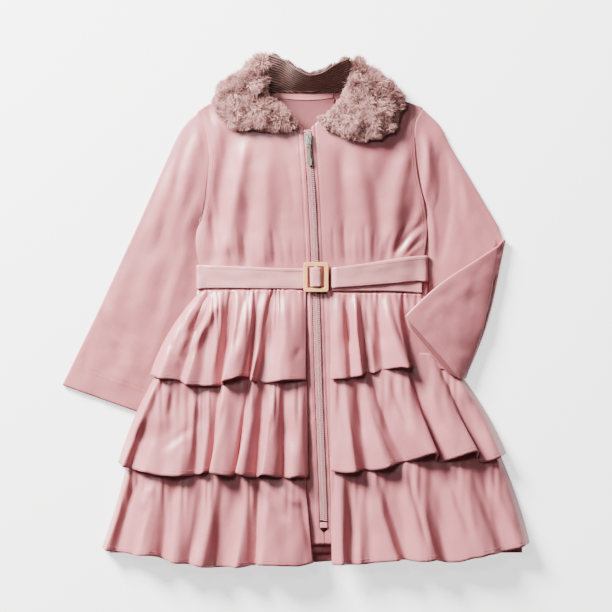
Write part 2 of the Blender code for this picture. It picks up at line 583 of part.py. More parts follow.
def on_zip(points):
    """Points in mm across, down and up on the zip at the slider, as metres in the coat."""
    upper, lower = 134.0, 172.0
    ends = place(along(ZIP_LINE, np.array([upper, lower])), np.array([upper, lower]),
                 chain_height(np.array([upper, lower])))
    down = ends[1] - ends[0]
    down = down / np.linalg.norm(down)
    across = np.cross(np.array([0, 0, 1.0]), down)
    across = -across / np.linalg.norm(across)
    up = np.cross(down, across)
    up = up if up[2] > 0 else -up
    base = place(along(ZIP_LINE, SLIDER_AT), SLIDER_AT, chain_height(np.array(SLIDER_AT)))
    base = base + up * (0.5 * CHAIN_WALL + 0.0006 + SLIDER_WALL * 0.001)
    p = np.asarray(points, float) * 0.001
    return base + p[:, :1] * across + p[:, 1:2] * down + p[:, 2:] * up


def zip_slider():
    """Slider plate with the bridge that holds the pull, joined into one casting."""
    work = bmesh.new()
    count = len(SLIDER_OUTLINE)
    rings = []
    for up in (-SLIDER_WALL, 0.0):
        local = [(a, b, up) for a, b in SLIDER_OUTLINE]
        rings.append([work.verts.new(tuple(p)) for p in on_zip(local)])
    for i in range(count):
        j = (i + 1) % count
        work.faces.new((rings[0][i], rings[0][j], rings[1][j], rings[1][i]))
    work.faces.new(rings[1])
    work.faces.new(rings[0][::-1])
    mesh = bpy.data.meshes.new("zip_slider")
    bmesh.ops.recalc_face_normals(work, faces=work.faces)
    work.to_mesh(mesh)
    work.free()
    plate = bpy.data.objects.new("zip_slider", mesh)
    plate.data.materials.append(SILVER)
    coat_parts.objects.link(plate)

    path = np.array(BRIDGE_PATH)
    step = np.gradient(path, axis=0)
    normal = np.stack([-step[:, 1], step[:, 0]], axis=1)
    normal = normal / np.linalg.norm(normal, axis=1)[:, None]
    points, faces = [], []
    for (b, c), (nb, nc) in zip(path, normal):
        for a, n in ((-0.8, -BRIDGE_HALF), (0.8, -BRIDGE_HALF), (0.8, BRIDGE_HALF),
                     (-0.8, BRIDGE_HALF)):
            points.append((a, b + nb * n, c + nc * n))
    for k in range(len(path) - 1):
        for i in range(4):
            j = (i + 1) % 4
            faces.append((4 * k + i, 4 * k + j, 4 * k + 4 + j, 4 * k + 4 + i))
    end = 4 * (len(path) - 1)
    faces += [(3, 2, 1, 0), (end, end + 1, end + 2, end + 3)]
    bridge = add_mesh("slider_bridge_form", on_zip(points), faces, SILVER)
    face_outwards(bridge)
    coat_parts.objects.unlink(bridge)
    forms.objects.link(bridge)
    bridge.hide_render = True
    bridge.display_type = "WIRE"
    union = plate.modifiers.new("bridge", "BOOLEAN")
    union.operation = "UNION"
    union.solver = "EXACT"
    union.object = bridge
    return plate


# Pull tab, in mm: distance from the hinge line, half width, half width of its inner columns.  The
# inner columns are open, as the eye round the slider's bridge, between the second and fourth rows.
PULL_ROWS = [(-0.7, 2.0, 1.2), (0.75, 2.6, 1.4), (3.4, 2.6, 1.5), (5.8, 2.0, 0.9), (7.5, 1.5, 0.6),
             (11.0, 1.6, 0.6), (15.0, 1.9, 0.7), (18.5, 2.6, 0.9), (21.5, 3.1, 1.1),
             (24.0, 2.6, 0.9), (25.4, 1.5, 0.6), (26.0, 0.7, 0.3)]
EYE_ROWS = (1, 3)


def plate(name, low, high, filled, look):
    """A closed plate over a grid of cells, open wherever a cell isn't filled."""
    rows, columns = filled.shape
    wide = columns + 1
    count = (rows + 1) * wide
    faces = []
    for r in range(rows):
        for c in range(columns):
            if not filled[r, c]:
                continue
            a, b, d, e = r * wide + c, r * wide + c + 1, (r + 1) * wide + c, (r + 1) * wide + c + 1
            faces += [(count + a, count + b, count + e, count + d), (d, e, b, a)]
            for row, column, i, j in ((r - 1, c, a, b), (r + 1, c, e, d), (r, c - 1, d, a),
                                      (r, c + 1, b, e)):
                inside = 0 <= row < rows and 0 <= column < columns
                if not (inside and filled[row, column]):
                    faces.append((i, j, count + j, count + i))
    points = np.concatenate([low.reshape(-1, 3), high.reshape(-1, 3)])
    made = add_mesh(name, points, faces, look)
    face_outwards(made)
    return made


def zip_pull():
    """Flat pull tab with a drop end; its eye goes round the slider's bridge."""
    distance = np.array([row[0] for row in PULL_ROWS])
    across = np.array([(-w, -e, e, w) for _, w, e in PULL_ROWS])
    level = HINGE_AT[2] - 0.075 * np.maximum(0.0, distance - 4.0)
    grids = []
    for up in (-0.5 * PULL_WALL, 0.5 * PULL_WALL):
        local = np.stack([across, np.repeat(HINGE_AT[1] + distance[:, None], 4, 1),
                          np.repeat(level[:, None] + up, 4, 1)], axis=-1)
        grids.append(on_zip(local.reshape(-1, 3)))
    filled = np.ones((len(PULL_ROWS) - 1, 3), bool)
    filled[EYE_ROWS[0]:EYE_ROWS[1], 1] = False
    return plate("zip_pull", grids[0], grids[1], filled, SILVER)


# Belt, as it runs from under the buckle's right bar to the left, round the back and to the buckle
# again: chart x, y of upper edge, y of lower edge, where it lies (front, rise in mm above the front
# layer, or a height in mm above the floor).
BELT_RUN = [
    (326.8, 268.6, 287.2, "front", 0.0), (323.4, 268.2, 287.0, "front", 0.0),
    (321.6, 267.9, 286.8, "front", 2.5), (320.0, 267.8, 286.8, "front", 5.2),
    (316.0, 267.8, 286.8, "front", 5.7), (312.2, 267.8, 286.8, "front", 5.2),
    (310.6, 267.9, 286.9, "front", 2.5), (308.9, 268.0, 287.4, "front", 0.0),
    (303.0, 268.4, 288.8, "front", 0.0), (290.0, 268.4, 288.9, "front", 0.0),
    (275.0, 268.0, 288.7, "front", 0.0), (258.0, 267.3, 288.6, "front", 0.0),
    (240.0, 266.4, 288.3, "front", 0.0), (222.0, 265.8, 288.0, "front", 0.0),
    (208.0, 265.3, 288.2, "front", 0.0), (201.0, 265.0, 288.8, "front", 0.0),
    (198.0, 265.0, 289.0, "floor", 6.4), (197.0, 265.0, 289.0, "floor", 4.2),
    (197.6, 265.0, 289.0, "floor", 2.0), (199.6, 265.0, 289.0, "floor", 0.85),
    (203.5, 264.8, 288.6, "floor", 0.75), (240.0, 264.0, 288.0, "floor", 0.75),
    (310.0, 262.0, 286.5, "floor", 0.75), (385.0, 259.0, 284.0, "floor", 0.75),
    (418.0, 257.0, 282.5, "floor", 0.75), (424.6, 256.5, 282.3, "floor", 1.0),
    (427.2, 256.2, 282.2, "floor", 2.4), (428.0, 256.0, 282.1, "floor", 4.6),
    (427.2, 255.8, 282.0, "floor", 7.2), (424.6, 255.6, 281.8, "above", 0.0),
    (417.0, 256.0, 281.2, "above", 0.0), (400.0, 258.0, 283.0, "above", 0.0),
    (378.0, 261.5, 284.8, "above", 0.0), (355.0, 265.0, 286.6, "above", 0.0),
    (331.5, 268.0, 288.0, "above", 0.0)]
# Second layer of belt under the right run: chart x, y of upper edge, y of lower edge.
BELT_TAIL = [(331.5, 271.0, 290.9), (350, 270.0, 291.0), (370, 269.0, 291.0), (390, 268.5, 291.2),
             (406, 268.4, 292.0), (416, 269.0, 292.8), (422.5, 269.5, 292.8)]


def belt_rest(x, y):
    """Middle height of belt lying on the front."""
    return (front_height(x, y) + 0.5 * WALL + SEAM_GAP + 0.0005 + 0.5 * BELT_WALL
            + 0.0006 * ease(272, 286, y))


def belt():
    share = np.array([0.0, 0.5, 1.0])
    rows = []
    for x, upper, lower, where, height in BELT_RUN:
        y = upper + (lower - upper) * share
        x_row = np.full_like(y, x)
        if where == "floor":
            z = np.full_like(y, height * 0.001)
        else:
            z = belt_rest(x_row, y) + height * 0.001
            if where == "above":
                z = z + BELT_WALL + SEAM_GAP + 0.0003
        rows.append(place(x_row, y, z))
    return sheet("belt", np.array(rows), BELT_CLOTH, BELT_WALL)


def belt_tail():
    share = np.array([0.0, 0.5, 1.0])
    rows = []
    for x, upper, lower in BELT_TAIL:
        y = upper + (lower - upper) * share
        x_row = np.full_like(y, x)
        rows.append(place(x_row, y, belt_rest(x_row, y)))
    return sheet("belt_tail", np.array(rows), BELT_CLOTH, BELT_WALL)


BUCKLE_X = [303.5, 307.7, 314.3, 317.7, 324.3, 328.5]
BUCKLE_Y = [262.5, 266.6, 287.9, 292.0]
BUCKLE_WALL = 0.0024
BUCKLE_CORNER = 0.0030


def buckle():
    """Rectangular frame with a middle bar; belt passes under the sides and over the bar."""
    work = bmesh.new()
    low = {}
    middle = (np.array(316.0), np.array(277.0))
    rest = float(belt_rest(*middle)) + 0.5 * BELT_WALL + SEAM_GAP + 0.0008
    for i, x in enumerate(BUCKLE_X):
        for j, y in enumerate(BUCKLE_Y):
            tilt = 0.0003 * (y - 277.0) / 10.0
            low[i, j] = work.verts.new(tuple(place(x, y, rest + tilt)))
    cells = []
    for i in range(5):
        for j in range(3):
            if j == 1 and i in (1, 3):
                continue
            cells.append(work.faces.new((low[i, j], low[i + 1, j], low[i + 1, j + 1],
                                         low[i, j + 1])))
    extruded = bmesh.ops.extrude_face_region(work, geom=cells)
    for item in extruded["geom"]:
        if isinstance(item, bmesh.types.BMVert):
            item.co.z += BUCKLE_WALL
    bmesh.ops.recalc_face_normals(work, faces=work.faces)
    work.verts.ensure_lookup_table()
    xs = [v.co.x for v in work.verts]
    ys = [v.co.y for v in work.verts]
    corners = [e for e in work.edges
               if abs(e.verts[0].co.x - e.verts[1].co.x) < 1e-6
               and abs(e.verts[0].co.y - e.verts[1].co.y) < 1e-6
               and min(abs(e.verts[0].co.x - max(xs)), abs(e.verts[0].co.x - min(xs))) < 1e-6
               and min(abs(e.verts[0].co.y - max(ys)), abs(e.verts[0].co.y - min(ys))) < 1e-6]
    bmesh.ops.bevel(work, geom=corners, offset=BUCKLE_CORNER, segments=3, profile=0.5,
                    affect="EDGES")
    mesh = bpy.data.meshes.new("buckle")
    work.to_mesh(mesh)
    work.free()
    made = bpy.data.objects.new("buckle", mesh)
    made.data.materials.append(HORN)
    coat_parts.objects.link(made)
    rounding = made.modifiers.new("rounding", "BEVEL")
    rounding.width = 0.0005
    rounding.segments = 1
    rounding.limit_method = "ANGLE"
    rounding.angle_limit = math.radians(50)
    return made


forms = bpy.data.collections.new("forms_used_for_shaping")
bpy.context.scene.collection.children.link(forms)

back_bodice()
front("front_left", True)
front("front_right", False)
sleeve_left()
sleeve_right()
skirt_back()
skirt_front("skirt_front_left", True)
skirt_front("skirt_front_right", False)
ruffle("tier_1_left", 1, TIER_1_LEFT)
ruffle("tier_1_right", 1, TIER_1_RIGHT)
ruffle("tier_2_left", 2, TIER_2_LEFT)
ruffle("tier_2_right", 2, TIER_2_RIGHT, TIER_ROWS[3])
ruffle("tier_3_left", 3, TIER_3_LEFT)
ruffle("tier_3_right", 3, TIER_3_RIGHT)
for back_row in BACK_TIERS:
    back_ruffle(*back_row)
fur_length("fur_left", FUR_LEFT)
fur_length("fur_right", FUR_RIGHT)
fur_back()
collar_lining()
neck_tape()
zip_tape("zip_tape_left", True)
zip_tape("zip_tape_right", False)
zip_chain()
zip_stop()
zip_slider()
zip_pull()
belt()
belt_tail()
buckle()
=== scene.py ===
"""Looks of a child's belted coat with a fur collar, full front zip and three ruffled skirt tiers.

The coat lies on its back on a pale floor.  X runs to the viewer's right, Y from hem to collar, Z up.
Outlines are given on a chart whose unit is 1.15 mm of coat, x to the right and y down from above the
collar; `place` turns chart units into metres.
"""
import math

import bpy
import numpy as np
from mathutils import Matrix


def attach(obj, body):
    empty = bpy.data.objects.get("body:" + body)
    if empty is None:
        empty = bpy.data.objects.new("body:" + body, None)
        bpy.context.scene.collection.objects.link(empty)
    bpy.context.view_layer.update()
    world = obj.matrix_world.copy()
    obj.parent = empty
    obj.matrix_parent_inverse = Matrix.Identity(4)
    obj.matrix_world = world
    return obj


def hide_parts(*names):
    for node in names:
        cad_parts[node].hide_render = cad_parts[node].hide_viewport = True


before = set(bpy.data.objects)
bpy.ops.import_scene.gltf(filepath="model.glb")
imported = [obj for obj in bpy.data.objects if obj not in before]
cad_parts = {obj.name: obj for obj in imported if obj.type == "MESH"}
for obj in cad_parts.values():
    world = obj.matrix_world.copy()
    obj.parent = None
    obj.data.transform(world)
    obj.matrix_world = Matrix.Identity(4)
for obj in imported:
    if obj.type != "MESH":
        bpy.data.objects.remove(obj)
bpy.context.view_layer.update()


CHART_UNIT = 0.00115
CHART_MID_X, CHART_MID_Y = 295.6, 311.1
WALL = 0.0016
SEAM_GAP = 0.0003
LAYER = WALL + SEAM_GAP
SKIRT_LAYER = 0.0025
BELT_WALL = 0.0015
TAPE_WALL = 0.0008
SLEEVE_DEPTH = 0.0026
ELBOW_RADIUS = 0.0010
ZIP_HALF_OPENING = 4.4
CHAIN_WALL = 0.0022


def ease(start, end, value):
    part = np.clip((np.asarray(value, float) - start) / (end - start), 0.0, 1.0)
    return part * part * (3 - 2 * part)


def along(table, at):
    """Smooth curve through the rows of a (position, value) table, flat beyond its ends."""
    pos = np.array([row[0] for row in table], float)
    val = np.array([row[1] for row in table], float)
    slope = np.gradient(val, pos)
    at = np.clip(np.asarray(at, float), pos[0], pos[-1])
    i = np.clip(np.searchsorted(pos, at, side="right") - 1, 0, len(pos) - 2)
    span = pos[i + 1] - pos[i]
    t = (at - pos[i]) / span
    return ((2 * t**3 - 3 * t**2 + 1) * val[i] + (t**3 - 2 * t**2 + t) * span * slope[i]
            + (3 * t**2 - 2 * t**3) * val[i + 1] + (t**3 - t**2) * span * slope[i + 1])


def place(x, y, z):
    """Chart x, y and height z in metres, as a point array in metres."""
    x, y, z = np.broadcast_arrays(np.asarray(x, float), y, z)
    return np.stack([(x - CHART_MID_X) * CHART_UNIT, (CHART_MID_Y - y) * CHART_UNIT, z], axis=-1)

# Centre line of the zip: chart y, chart x.
ZIP_LINE = [(92, 305), (128, 307), (200, 312), (300, 316), (400, 319), (450, 321), (500, 323),
            (560, 325)]
# Side edges of the body from armhole to waist: chart y, chart x.
BODY_LEFT = [(88, 197), (111, 197), (125, 203), (140, 207), (158, 208.5), (183, 206), (212, 202),
             (222, 198.5), (241, 195.5), (266, 199.5), (277, 202)]
BODY_RIGHT = [(88, 423), (107, 423), (119, 417.5), (151, 416), (183, 420), (201, 424.6),
              (227, 428), (260, 424.5), (277, 422)]
# Side edges of the plain skirt that carries the tiers: chart y, chart x.
SKIRT_LEFT = [(277, 209), (290, 207.5), (298, 203), (310, 193), (328, 179.5), (345, 174), (375, 166.5),
              (405, 148), (440, 138), (465, 135.5), (485, 130), (515, 119), (548, 109.5)]
SKIRT_RIGHT = [(277, 416.5), (294, 417.5), (316, 426), (345, 437), (362, 443.5), (378, 453), (396, 468),
               (430, 482), (442, 488), (455, 493.5), (480, 502), (515, 514), (548, 522.5)]
# Height of the front above the back along the zip: chart y, metres.
FRONT_RISE = [(88, 0.004), (128, 0.012), (170, 0.0165), (220, 0.0145), (277, 0.0095),
              (310, 0.008), (345, 0.007), (465, 0.007), (550, 0.0055)]
# Soft folds pressed into the bodice fronts: start x, y, end x, y, half width, depth (+ is a ridge).
BODICE_FOLDS = [
    (224, 132, 214, 262, 9.0, -0.0022),
    (244, 150, 228, 250, 8.0, 0.0016),
    (267, 160, 262, 262, 10.0, 0.0010),
    (252, 200, 244, 268, 7.0, -0.0014),
    (284, 140, 290, 230, 9.0, -0.0008),
    (340, 150, 352, 262, 10.0, -0.0010),
    (412, 150, 392, 240, 8.0, 0.0016),
    (424, 215, 396, 252, 6.0, -0.0016),
    (426, 240, 400, 262, 5.0, 0.0012),
    (372, 170, 380, 262, 9.0, -0.0012),
]


def side_part(x, y, left, right):
    """0 on the zip line, 1 on the side edge."""
    middle = along(ZIP_LINE, y)
    return np.clip(np.where(x < middle, (middle - x) / (middle - along(left, y)),
                            (x - middle) / (along(right, y) - middle)), 0.0, 1.0)


def side_lift(x, y):
    """Rise of the skirt's left side where it lies over the straight sleeve."""
    inside = x - along(SKIRT_LEFT, y)
    return 0.0060 * ease(288, 312, y) * (1 - ease(417, 441, y)) * (1 - ease(6, 44, inside))


def back_height(x, y):
    """Middle surface of the back: flat on the floor, lifted over the belt and the back tiers."""
    u = side_part(x, y, SKIRT_LEFT, SKIRT_RIGHT)
    return (0.5 * WALL + LAYER * ease(222, 253, y) + SKIRT_LAYER * ease(289, 312, y)
            + 0.0030 * ease(289, 330, y) * (1 - u**6) + side_lift(x, y))


def shoulder_line(x):
    return along([(190, 113), (208, 103.5), (258, 88), (310, 80), (360, 86), (409, 101),
                  (430, 109)], x)


def front_height(x, y):
    """Middle surface of the fronts, arching from the side edges up to the zip."""
    in_skirt = ease(272, 282, y)
    u = (side_part(x, y, BODY_LEFT, BODY_RIGHT) * (1 - in_skirt)
         + side_part(x, y, SKIRT_LEFT, SKIRT_RIGHT) * in_skirt)
    armhole = 0.0040 * np.clip(1 - ((y - 164) / 56.0) ** 2, 0, 1) * u**4
    arch = along(FRONT_RISE, y) * (1 - u**2.4) * ease(0, 34, y - shoulder_line(x))
    folds = 0.0
    for x0, y0, x1, y1, half, depth in BODICE_FOLDS:
        run = np.clip((y - y0) / (y1 - y0), 0, 1)
        off = (x - (x0 + (x1 - x0) * run)) / half
        ends = ease(y0 - 12, y0 + 14, y) * (1 - ease(y1 - 6, y1 + 8, y))
        folds = folds + depth * np.exp(-off * off) * ends
    return back_height(x, y) + LAYER + arch + armhole + folds * (1 - u**8)

# Upper edge of the pieces as chart y, read across from the armhole (0) to the middle (1).
FRONT_TOP_LEFT = [(0, 111), (0.1, 104.5), (0.3, 97.5), (0.5, 92), (0.62, 94), (0.8, 109), (1, 128)]
FRONT_TOP_RIGHT = [(0, 107), (0.12, 102.5), (0.3, 97.5), (0.5, 92), (0.62, 94), (0.8, 109),
                   (1, 128)]
BACK_TOP = [(0, 111), (0.05, 104.5), (0.18, 96), (0.28, 90), (0.36, 90.5), (0.5, 91.5),
            (0.64, 90.5), (0.72, 90), (0.82, 96), (0.95, 102.5), (1, 107)]
WAIST = 277.0
# Front ruffles.  One row per fold: x at the gathered top, x at the hem, sideways bow of the fold,
# y of the hem, and height in mm above the skirt at the hem.  The row at the side has height None:
# there the ruffle turns down to meet its back half.
TIER_1_LEFT = [
    (201, 150, -6.5, 375.0, None), (205, 160, -5, 377.0, 10), (209, 172, -3, 379.0, 8),
    (212, 181, -2, 381.0, 6.6), (215, 188, -1, 384.0, 11.5), (218, 200, 0, 385.0, 9),
    (222, 214, 0, 385.0, 10.5), (232, 222, 0, 384.5, 6.4), (239, 226, 0, 381.0, 15),
    (247, 237, 0, 378.5, 17), (254, 245, 0, 376.0, 14), (260, 249, 0, 377.5, 6.4),
    (268, 254, 0, 380.0, 13.5), (275, 258.5, 0, 381.5, 6.2), (281, 269, 0, 382.0, 7.5),
    (286, 280, 0, 381.0, 12), (292, 290, 0, 380.0, 12.5), (299, 299, 0, 379.5, 9),
    (306, 306, 0, 380.0, 6.8)]
TIER_1_RIGHT = [
    (330, 331, 0, 379.5, 6.8), (336, 339, 0, 378.5, 10), (342, 346, 0, 377.5, 9.5),
    (347, 351, 0, 376.5, 7), (355, 358, 0, 374.5, 14), (360, 367, 0, 373.0, 6.4),
    (366, 374, 0, 373.0, 8.4), (373, 384, 0, 369.5, 6.4), (379, 397, -1.5, 367.0, 15),
    (388, 402, -1, 367.5, 17), (396, 406.5, 0, 366.5, 13), (401, 411, 0, 367.0, 6.2),
    (406, 421, 0, 368.0, 5.8), (414, 437, 0, 369.5, 5.6), (420, 455, 0, 370.5, 5.0),
    (423.5, 461, 2, 371.0, None)]
TIER_2_LEFT = [
    (162, 118, -4, 463.0, None), (166, 124.5, -3, 466.5, 11), (170, 131, -1, 468.5, 6.8),
    (178, 146, 0, 471.0, 12), (185, 165, 0, 474.5, 13), (195, 184, 0, 475.0, 15),
    (201, 195, 0, 474.0, 7.4), (212, 205, 0, 472.5, 12.5), (221, 211, 0, 471.0, 6.4),
    (226, 214, 0, 471.0, 15), (236, 224, 0, 473.5, 16), (246, 233, 0, 475.0, 12),
    (251, 236.5, 0, 471.0, 6.4), (255, 240, 0, 471.0, 15), (260, 248, 0, 474.0, 16),
    (266, 256, 0, 476.5, 7), (275, 266, 0, 473.5, 16), (281, 277, 0, 475.5, 13),
    (286, 283, 0, 477.0, 6.2), (292, 292, 0, 477.0, 12), (300, 301, 0, 475.5, 12),
    (307, 308, 0, 476.5, 6.8)]
TIER_2_RIGHT = [
    (330, 331, 0, 470.5, 6.8), (336, 341, 0, 471.5, 11), (344, 352, 0, 470.5, 15),
    (354, 366, -1, 470.0, 6.4), (363, 382, -3, 467.5, 15), (367, 393, -5, 463.5, 11),
    (369.5, 406, -6, 462.0, 6.6), (372, 419, -6, 456.0, 14), (385, 426, -2, 452.8, 18),
    (399, 433.5, 0, 453.0, 15), (404, 438.5, 0, 462.0, 6.2), (416, 453, 0, 457.0, 14),
    (428, 473, 0, 451.0, 15), (434, 479, 1, 461.5, 6.6), (438, 491, 3, 460.0, 10.5),
    (442, 500, 4, 457.0, 10), (446, 506.5, 5, 453.5, None)]
TIER_3_LEFT = [
    (130, 102, 1.5, 548.0, None), (134, 107, 1, 550.0, 11), (141, 116, 0, 552.0, 6.8),
    (150, 133, 0, 553.5, 8.6), (159, 142, 0, 554.0, 14), (166, 151, 0, 555.0, 13),
    (173, 163, 0, 558.0, 6.6), (179, 174, 0, 561.0, 13.5), (189, 181, 0, 562.5, 14),
    (202, 189, 0, 563.5, 8.6), (211, 197, 0, 564.0, 13), (219, 206, 0, 565.5, 15),
    (226, 214, 0, 566.5, 6.4), (236, 226, 0, 566.5, 6.6), (250, 239, 0, 566.0, 13.5),
    (256, 248, 0, 565.5, 8), (260, 256, 0, 564.5, 6.2), (265, 262, 0, 564.0, 15),
    (279, 283, 0, 564.0, 15), (293, 300, 0, 564.8, 12), (304, 313, 0, 563.0, 7)]
TIER_3_RIGHT = [
    (330, 332, 0, 563.0, 7), (344, 339, 0, 563.5, 13.5), (352, 351, 0, 564.0, 6.6),
    (359, 360, 0, 563.5, 9), (366, 371, 0, 562.5, 6.6), (373, 393, -3, 560.0, 14),
    (383, 403, -2, 559.0, 6.8), (393, 410, -1, 559.5, 8.4), (400, 416, 0, 560.0, 15),
    (407, 425, 0, 560.0, 16), (414, 433, 0, 560.0, 13), (424, 445, 0, 561.5, 6.6),
    (434, 456, 0, 561.0, 10), (448, 474, 0, 556.5, 14.5), (463, 491, 0, 553.5, 13),
    (473, 503, 0, 551.0, 7.8), (482, 516, 0, 548.0, 11.5), (490, 525.5, 0, 545.0, 8.5),
    (494, 530, 3, 543.0, None)]
# Gathered top edge of each tier: chart y across the coat at chart x.
TIER_TOPS = {
    1: [(195, 290.4), (240, 289.9), (306, 290.4), (330, 292.4), (406, 293.6), (424, 294.4)],
    2: [(150, 363), (200, 370), (240, 367), (300, 366), (340, 364), (380, 358), (400, 353),
        (450, 356)],
    3: [(125, 450), (160, 459), (200, 460), (300, 461), (340, 456), (380, 453), (420, 440),
        (440, 439.5), (500, 441)],
}
SIDE_TURN_HEIGHT = 0.5 * WALL + LAYER


def between(values):
    """Insert a smooth middle value between neighbouring fold values along the last axis."""
    first = 2 * values[:, :1] - values[:, 1:2]
    last = 2 * values[:, -1:] - values[:, -2:-1]
    padded = np.concatenate([first, values, last], axis=1)
    middle = (9 * (padded[:, 1:-2] + padded[:, 2:-1]) - padded[:, :-3] - padded[:, 3:]) / 16
    out = np.empty((values.shape[0], 2 * values.shape[1] - 1))
    out[:, 0::2] = values
    out[:, 1::2] = middle
    return out

# Back ruffles: tier, left and right x at the top and at the hem, y of the hem at the left, middle
# and right, and number of gathers across.
BACK_TOP_1 = (291.5, 285.5)
BACK_TIERS = [
    (1, 203, 421, 152.5, 460.5, 375, 381, 371, 10),
    (2, 164, 442, 120.5, 503.5, 463, 474, 453, 12),
    (3, 134, 490, 104.5, 527.5, 548, 563, 543, 14),
]
# Sleeve outlines in plan: position along the sleeve, outer x, y, inner x, y.
LEFT_SLEEVE = [
    (0.00, 196.3, 112.0, 197.3, 222.0), (0.07, 186.5, 121.0, 194.6, 232.0),
    (0.15, 177.5, 134.5, 193.0, 243.0), (0.24, 167.3, 158.0, 193.8, 258.0),
    (0.36, 150.5, 196.0, 194.6, 276.0), (0.46, 138.0, 224.0, 193.6, 293.0),
    (0.60, 114.5, 275.0, 184.0, 325.0), (0.72, 97.5, 312.0, 174.5, 347.0),
    (0.86, 79.0, 350.0, 159.5, 379.0), (1.00, 61.8, 385.5, 142.0, 414.0)]
RIGHT_UPPER = [
    (0.00, 423.7, 108.0, 426.0, 202.0), (0.12, 438.5, 122.5, 430.0, 218.0),
    (0.30, 451.0, 147.0, 430.2, 245.0), (0.50, 468.0, 175.0, 430.4, 280.0),
    (0.72, 484.0, 202.0, 440.0, 312.0), (0.88, 497.0, 224.0, 457.0, 344.0),
    (1.00, 506.5, 240.5, 467.0, 377.0)]
# Forearm folded back over the skirt, from the elbow fold to the cuff.
RIGHT_FOREARM = [
    (0.00, 506.5, 240.5, 467.0, 377.0), (0.20, 489.5, 251.5, 466.0, 378.0),
    (0.40, 468.5, 265.0, 464.9, 378.7), (0.60, 446.0, 279.5, 463.7, 379.0),
    (0.80, 424.0, 297.5, 462.4, 379.2), (1.00, 404.8, 316.3, 461.0, 379.3)]


def plan_ring(table, t, across, armhole=None, gap=0.0):
    """Plan of one ring; near the shoulder it takes the curve of the armhole it is sewn to."""
    def straight(at):
        out_x, out_y, in_x, in_y = (along([(row[0], row[i]) for row in table], at)
                                    for i in (1, 2, 3, 4))
        return out_x + (in_x - out_x) * across, out_y + (in_y - out_y) * across

    x, y = straight(t)
    if armhole is not None:
        start_x, start_y = straight(0.0)
        x = x + (along(armhole, start_y) + gap - start_x) * (1 - ease(0, 0.3, t))
    return x, y


def fold_distance(x, y):
    """Chart distance from the elbow fold line, positive over the body."""
    dx, dy = 467.0 - 506.5, 377.0 - 240.5
    length = math.hypot(dx, dy)
    return np.clip(((x - 506.5) * -dy + (y - 240.5) * dx) / length, 0, None)

# Fur collar lengths over the fronts: inner x, y (roll line), outer x, y (free edge), depth in mm.
FUR_LEFT = [
    (299.5, 126.5, 293, 130.5, 8), (292.5, 117.5, 275, 131.8, 13), (286, 107, 252, 133, 16),
    (277.5, 98.5, 230, 130.5, 19), (273, 93, 214.5, 118, 22), (271.6, 88, 208.3, 103.5, 25),
    (271.3, 82, 210, 93, 28), (271.3, 76, 222, 79.5, 30), (271, 70, 240, 67.5, 30),
    (270.8, 64, 257, 58.5, 28), (270.7, 59.5, 268.5, 55.5, 24)]
FUR_RIGHT = [
    (318.5, 121, 322.5, 129, 8), (320.5, 116.5, 335, 134.3, 13), (325.5, 110.5, 352, 140, 16),
    (331, 103.5, 372, 142.3, 19), (336, 96.5, 392, 137.5, 22), (339, 90, 404.5, 121, 25),
    (341.5, 84, 409, 100, 28), (343.5, 78, 403, 87.5, 30), (346, 71.5, 388, 76.7, 30),
    (348.3, 65, 372, 66.3, 28), (350.3, 60, 358, 58.7, 24)]
COLLAR_TOP = [(270, 55.2), (283, 60), (297, 70), (310, 75.3), (320, 74), (335, 65), (349, 57.6)]
NECK_SEAM = 90.0
COLLAR_STAND = 0.0240


def collar_back_height(x, y):
    top = along(COLLAR_TOP, x)
    return 0.0030 + COLLAR_STAND * np.clip((NECK_SEAM - y) / (NECK_SEAM - top), 0, 1)

ZIP_TOP, ZIP_END = 130.0, 521.0


def chain_height(y):
    x = along(ZIP_LINE, y)
    return front_height(x, y) + 0.0003

# Belt, as it runs from under the buckle's right bar to the left, round the back and to the buckle
# again: chart x, y of upper edge, y of lower edge, where it lies (front, rise in mm above the front
# layer, or a height in mm above the floor).
BELT_RUN = [
    (326.8, 268.6, 287.2, "front", 0.0), (323.4, 268.2, 287.0, "front", 0.0),
    (321.6, 267.9, 286.8, "front", 2.5), (320.0, 267.8, 286.8, "front", 5.2),
    (316.0, 267.8, 286.8, "front", 5.7), (312.2, 267.8, 286.8, "front", 5.2),
    (310.6, 267.9, 286.9, "front", 2.5), (308.9, 268.0, 287.4, "front", 0.0),
    (303.0, 268.4, 288.8, "front", 0.0), (290.0, 268.4, 288.9, "front", 0.0),
    (275.0, 268.0, 288.7, "front", 0.0), (258.0, 267.3, 288.6, "front", 0.0),
    (240.0, 266.4, 288.3, "front", 0.0), (222.0, 265.8, 288.0, "front", 0.0),
    (208.0, 265.3, 288.2, "front", 0.0), (201.0, 265.0, 288.8, "front", 0.0),
    (198.0, 265.0, 289.0, "floor", 6.4), (197.0, 265.0, 289.0, "floor", 4.2),
    (197.6, 265.0, 289.0, "floor", 2.0), (199.6, 265.0, 289.0, "floor", 0.85),
    (203.5, 264.8, 288.6, "floor", 0.75), (240.0, 264.0, 288.0, "floor", 0.75),
    (310.0, 262.0, 286.5, "floor", 0.75), (385.0, 259.0, 284.0, "floor", 0.75),
    (418.0, 257.0, 282.5, "floor", 0.75), (424.6, 256.5, 282.3, "floor", 1.0),
    (427.2, 256.2, 282.2, "floor", 2.4), (428.0, 256.0, 282.1, "floor", 4.6),
    (427.2, 255.8, 282.0, "floor", 7.2), (424.6, 255.6, 281.8, "above", 0.0),
    (417.0, 256.0, 281.2, "above", 0.0), (400.0, 258.0, 283.0, "above", 0.0),
    (378.0, 261.5, 284.8, "above", 0.0), (355.0, 265.0, 286.6, "above", 0.0),
    (331.5, 268.0, 288.0, "above", 0.0)]
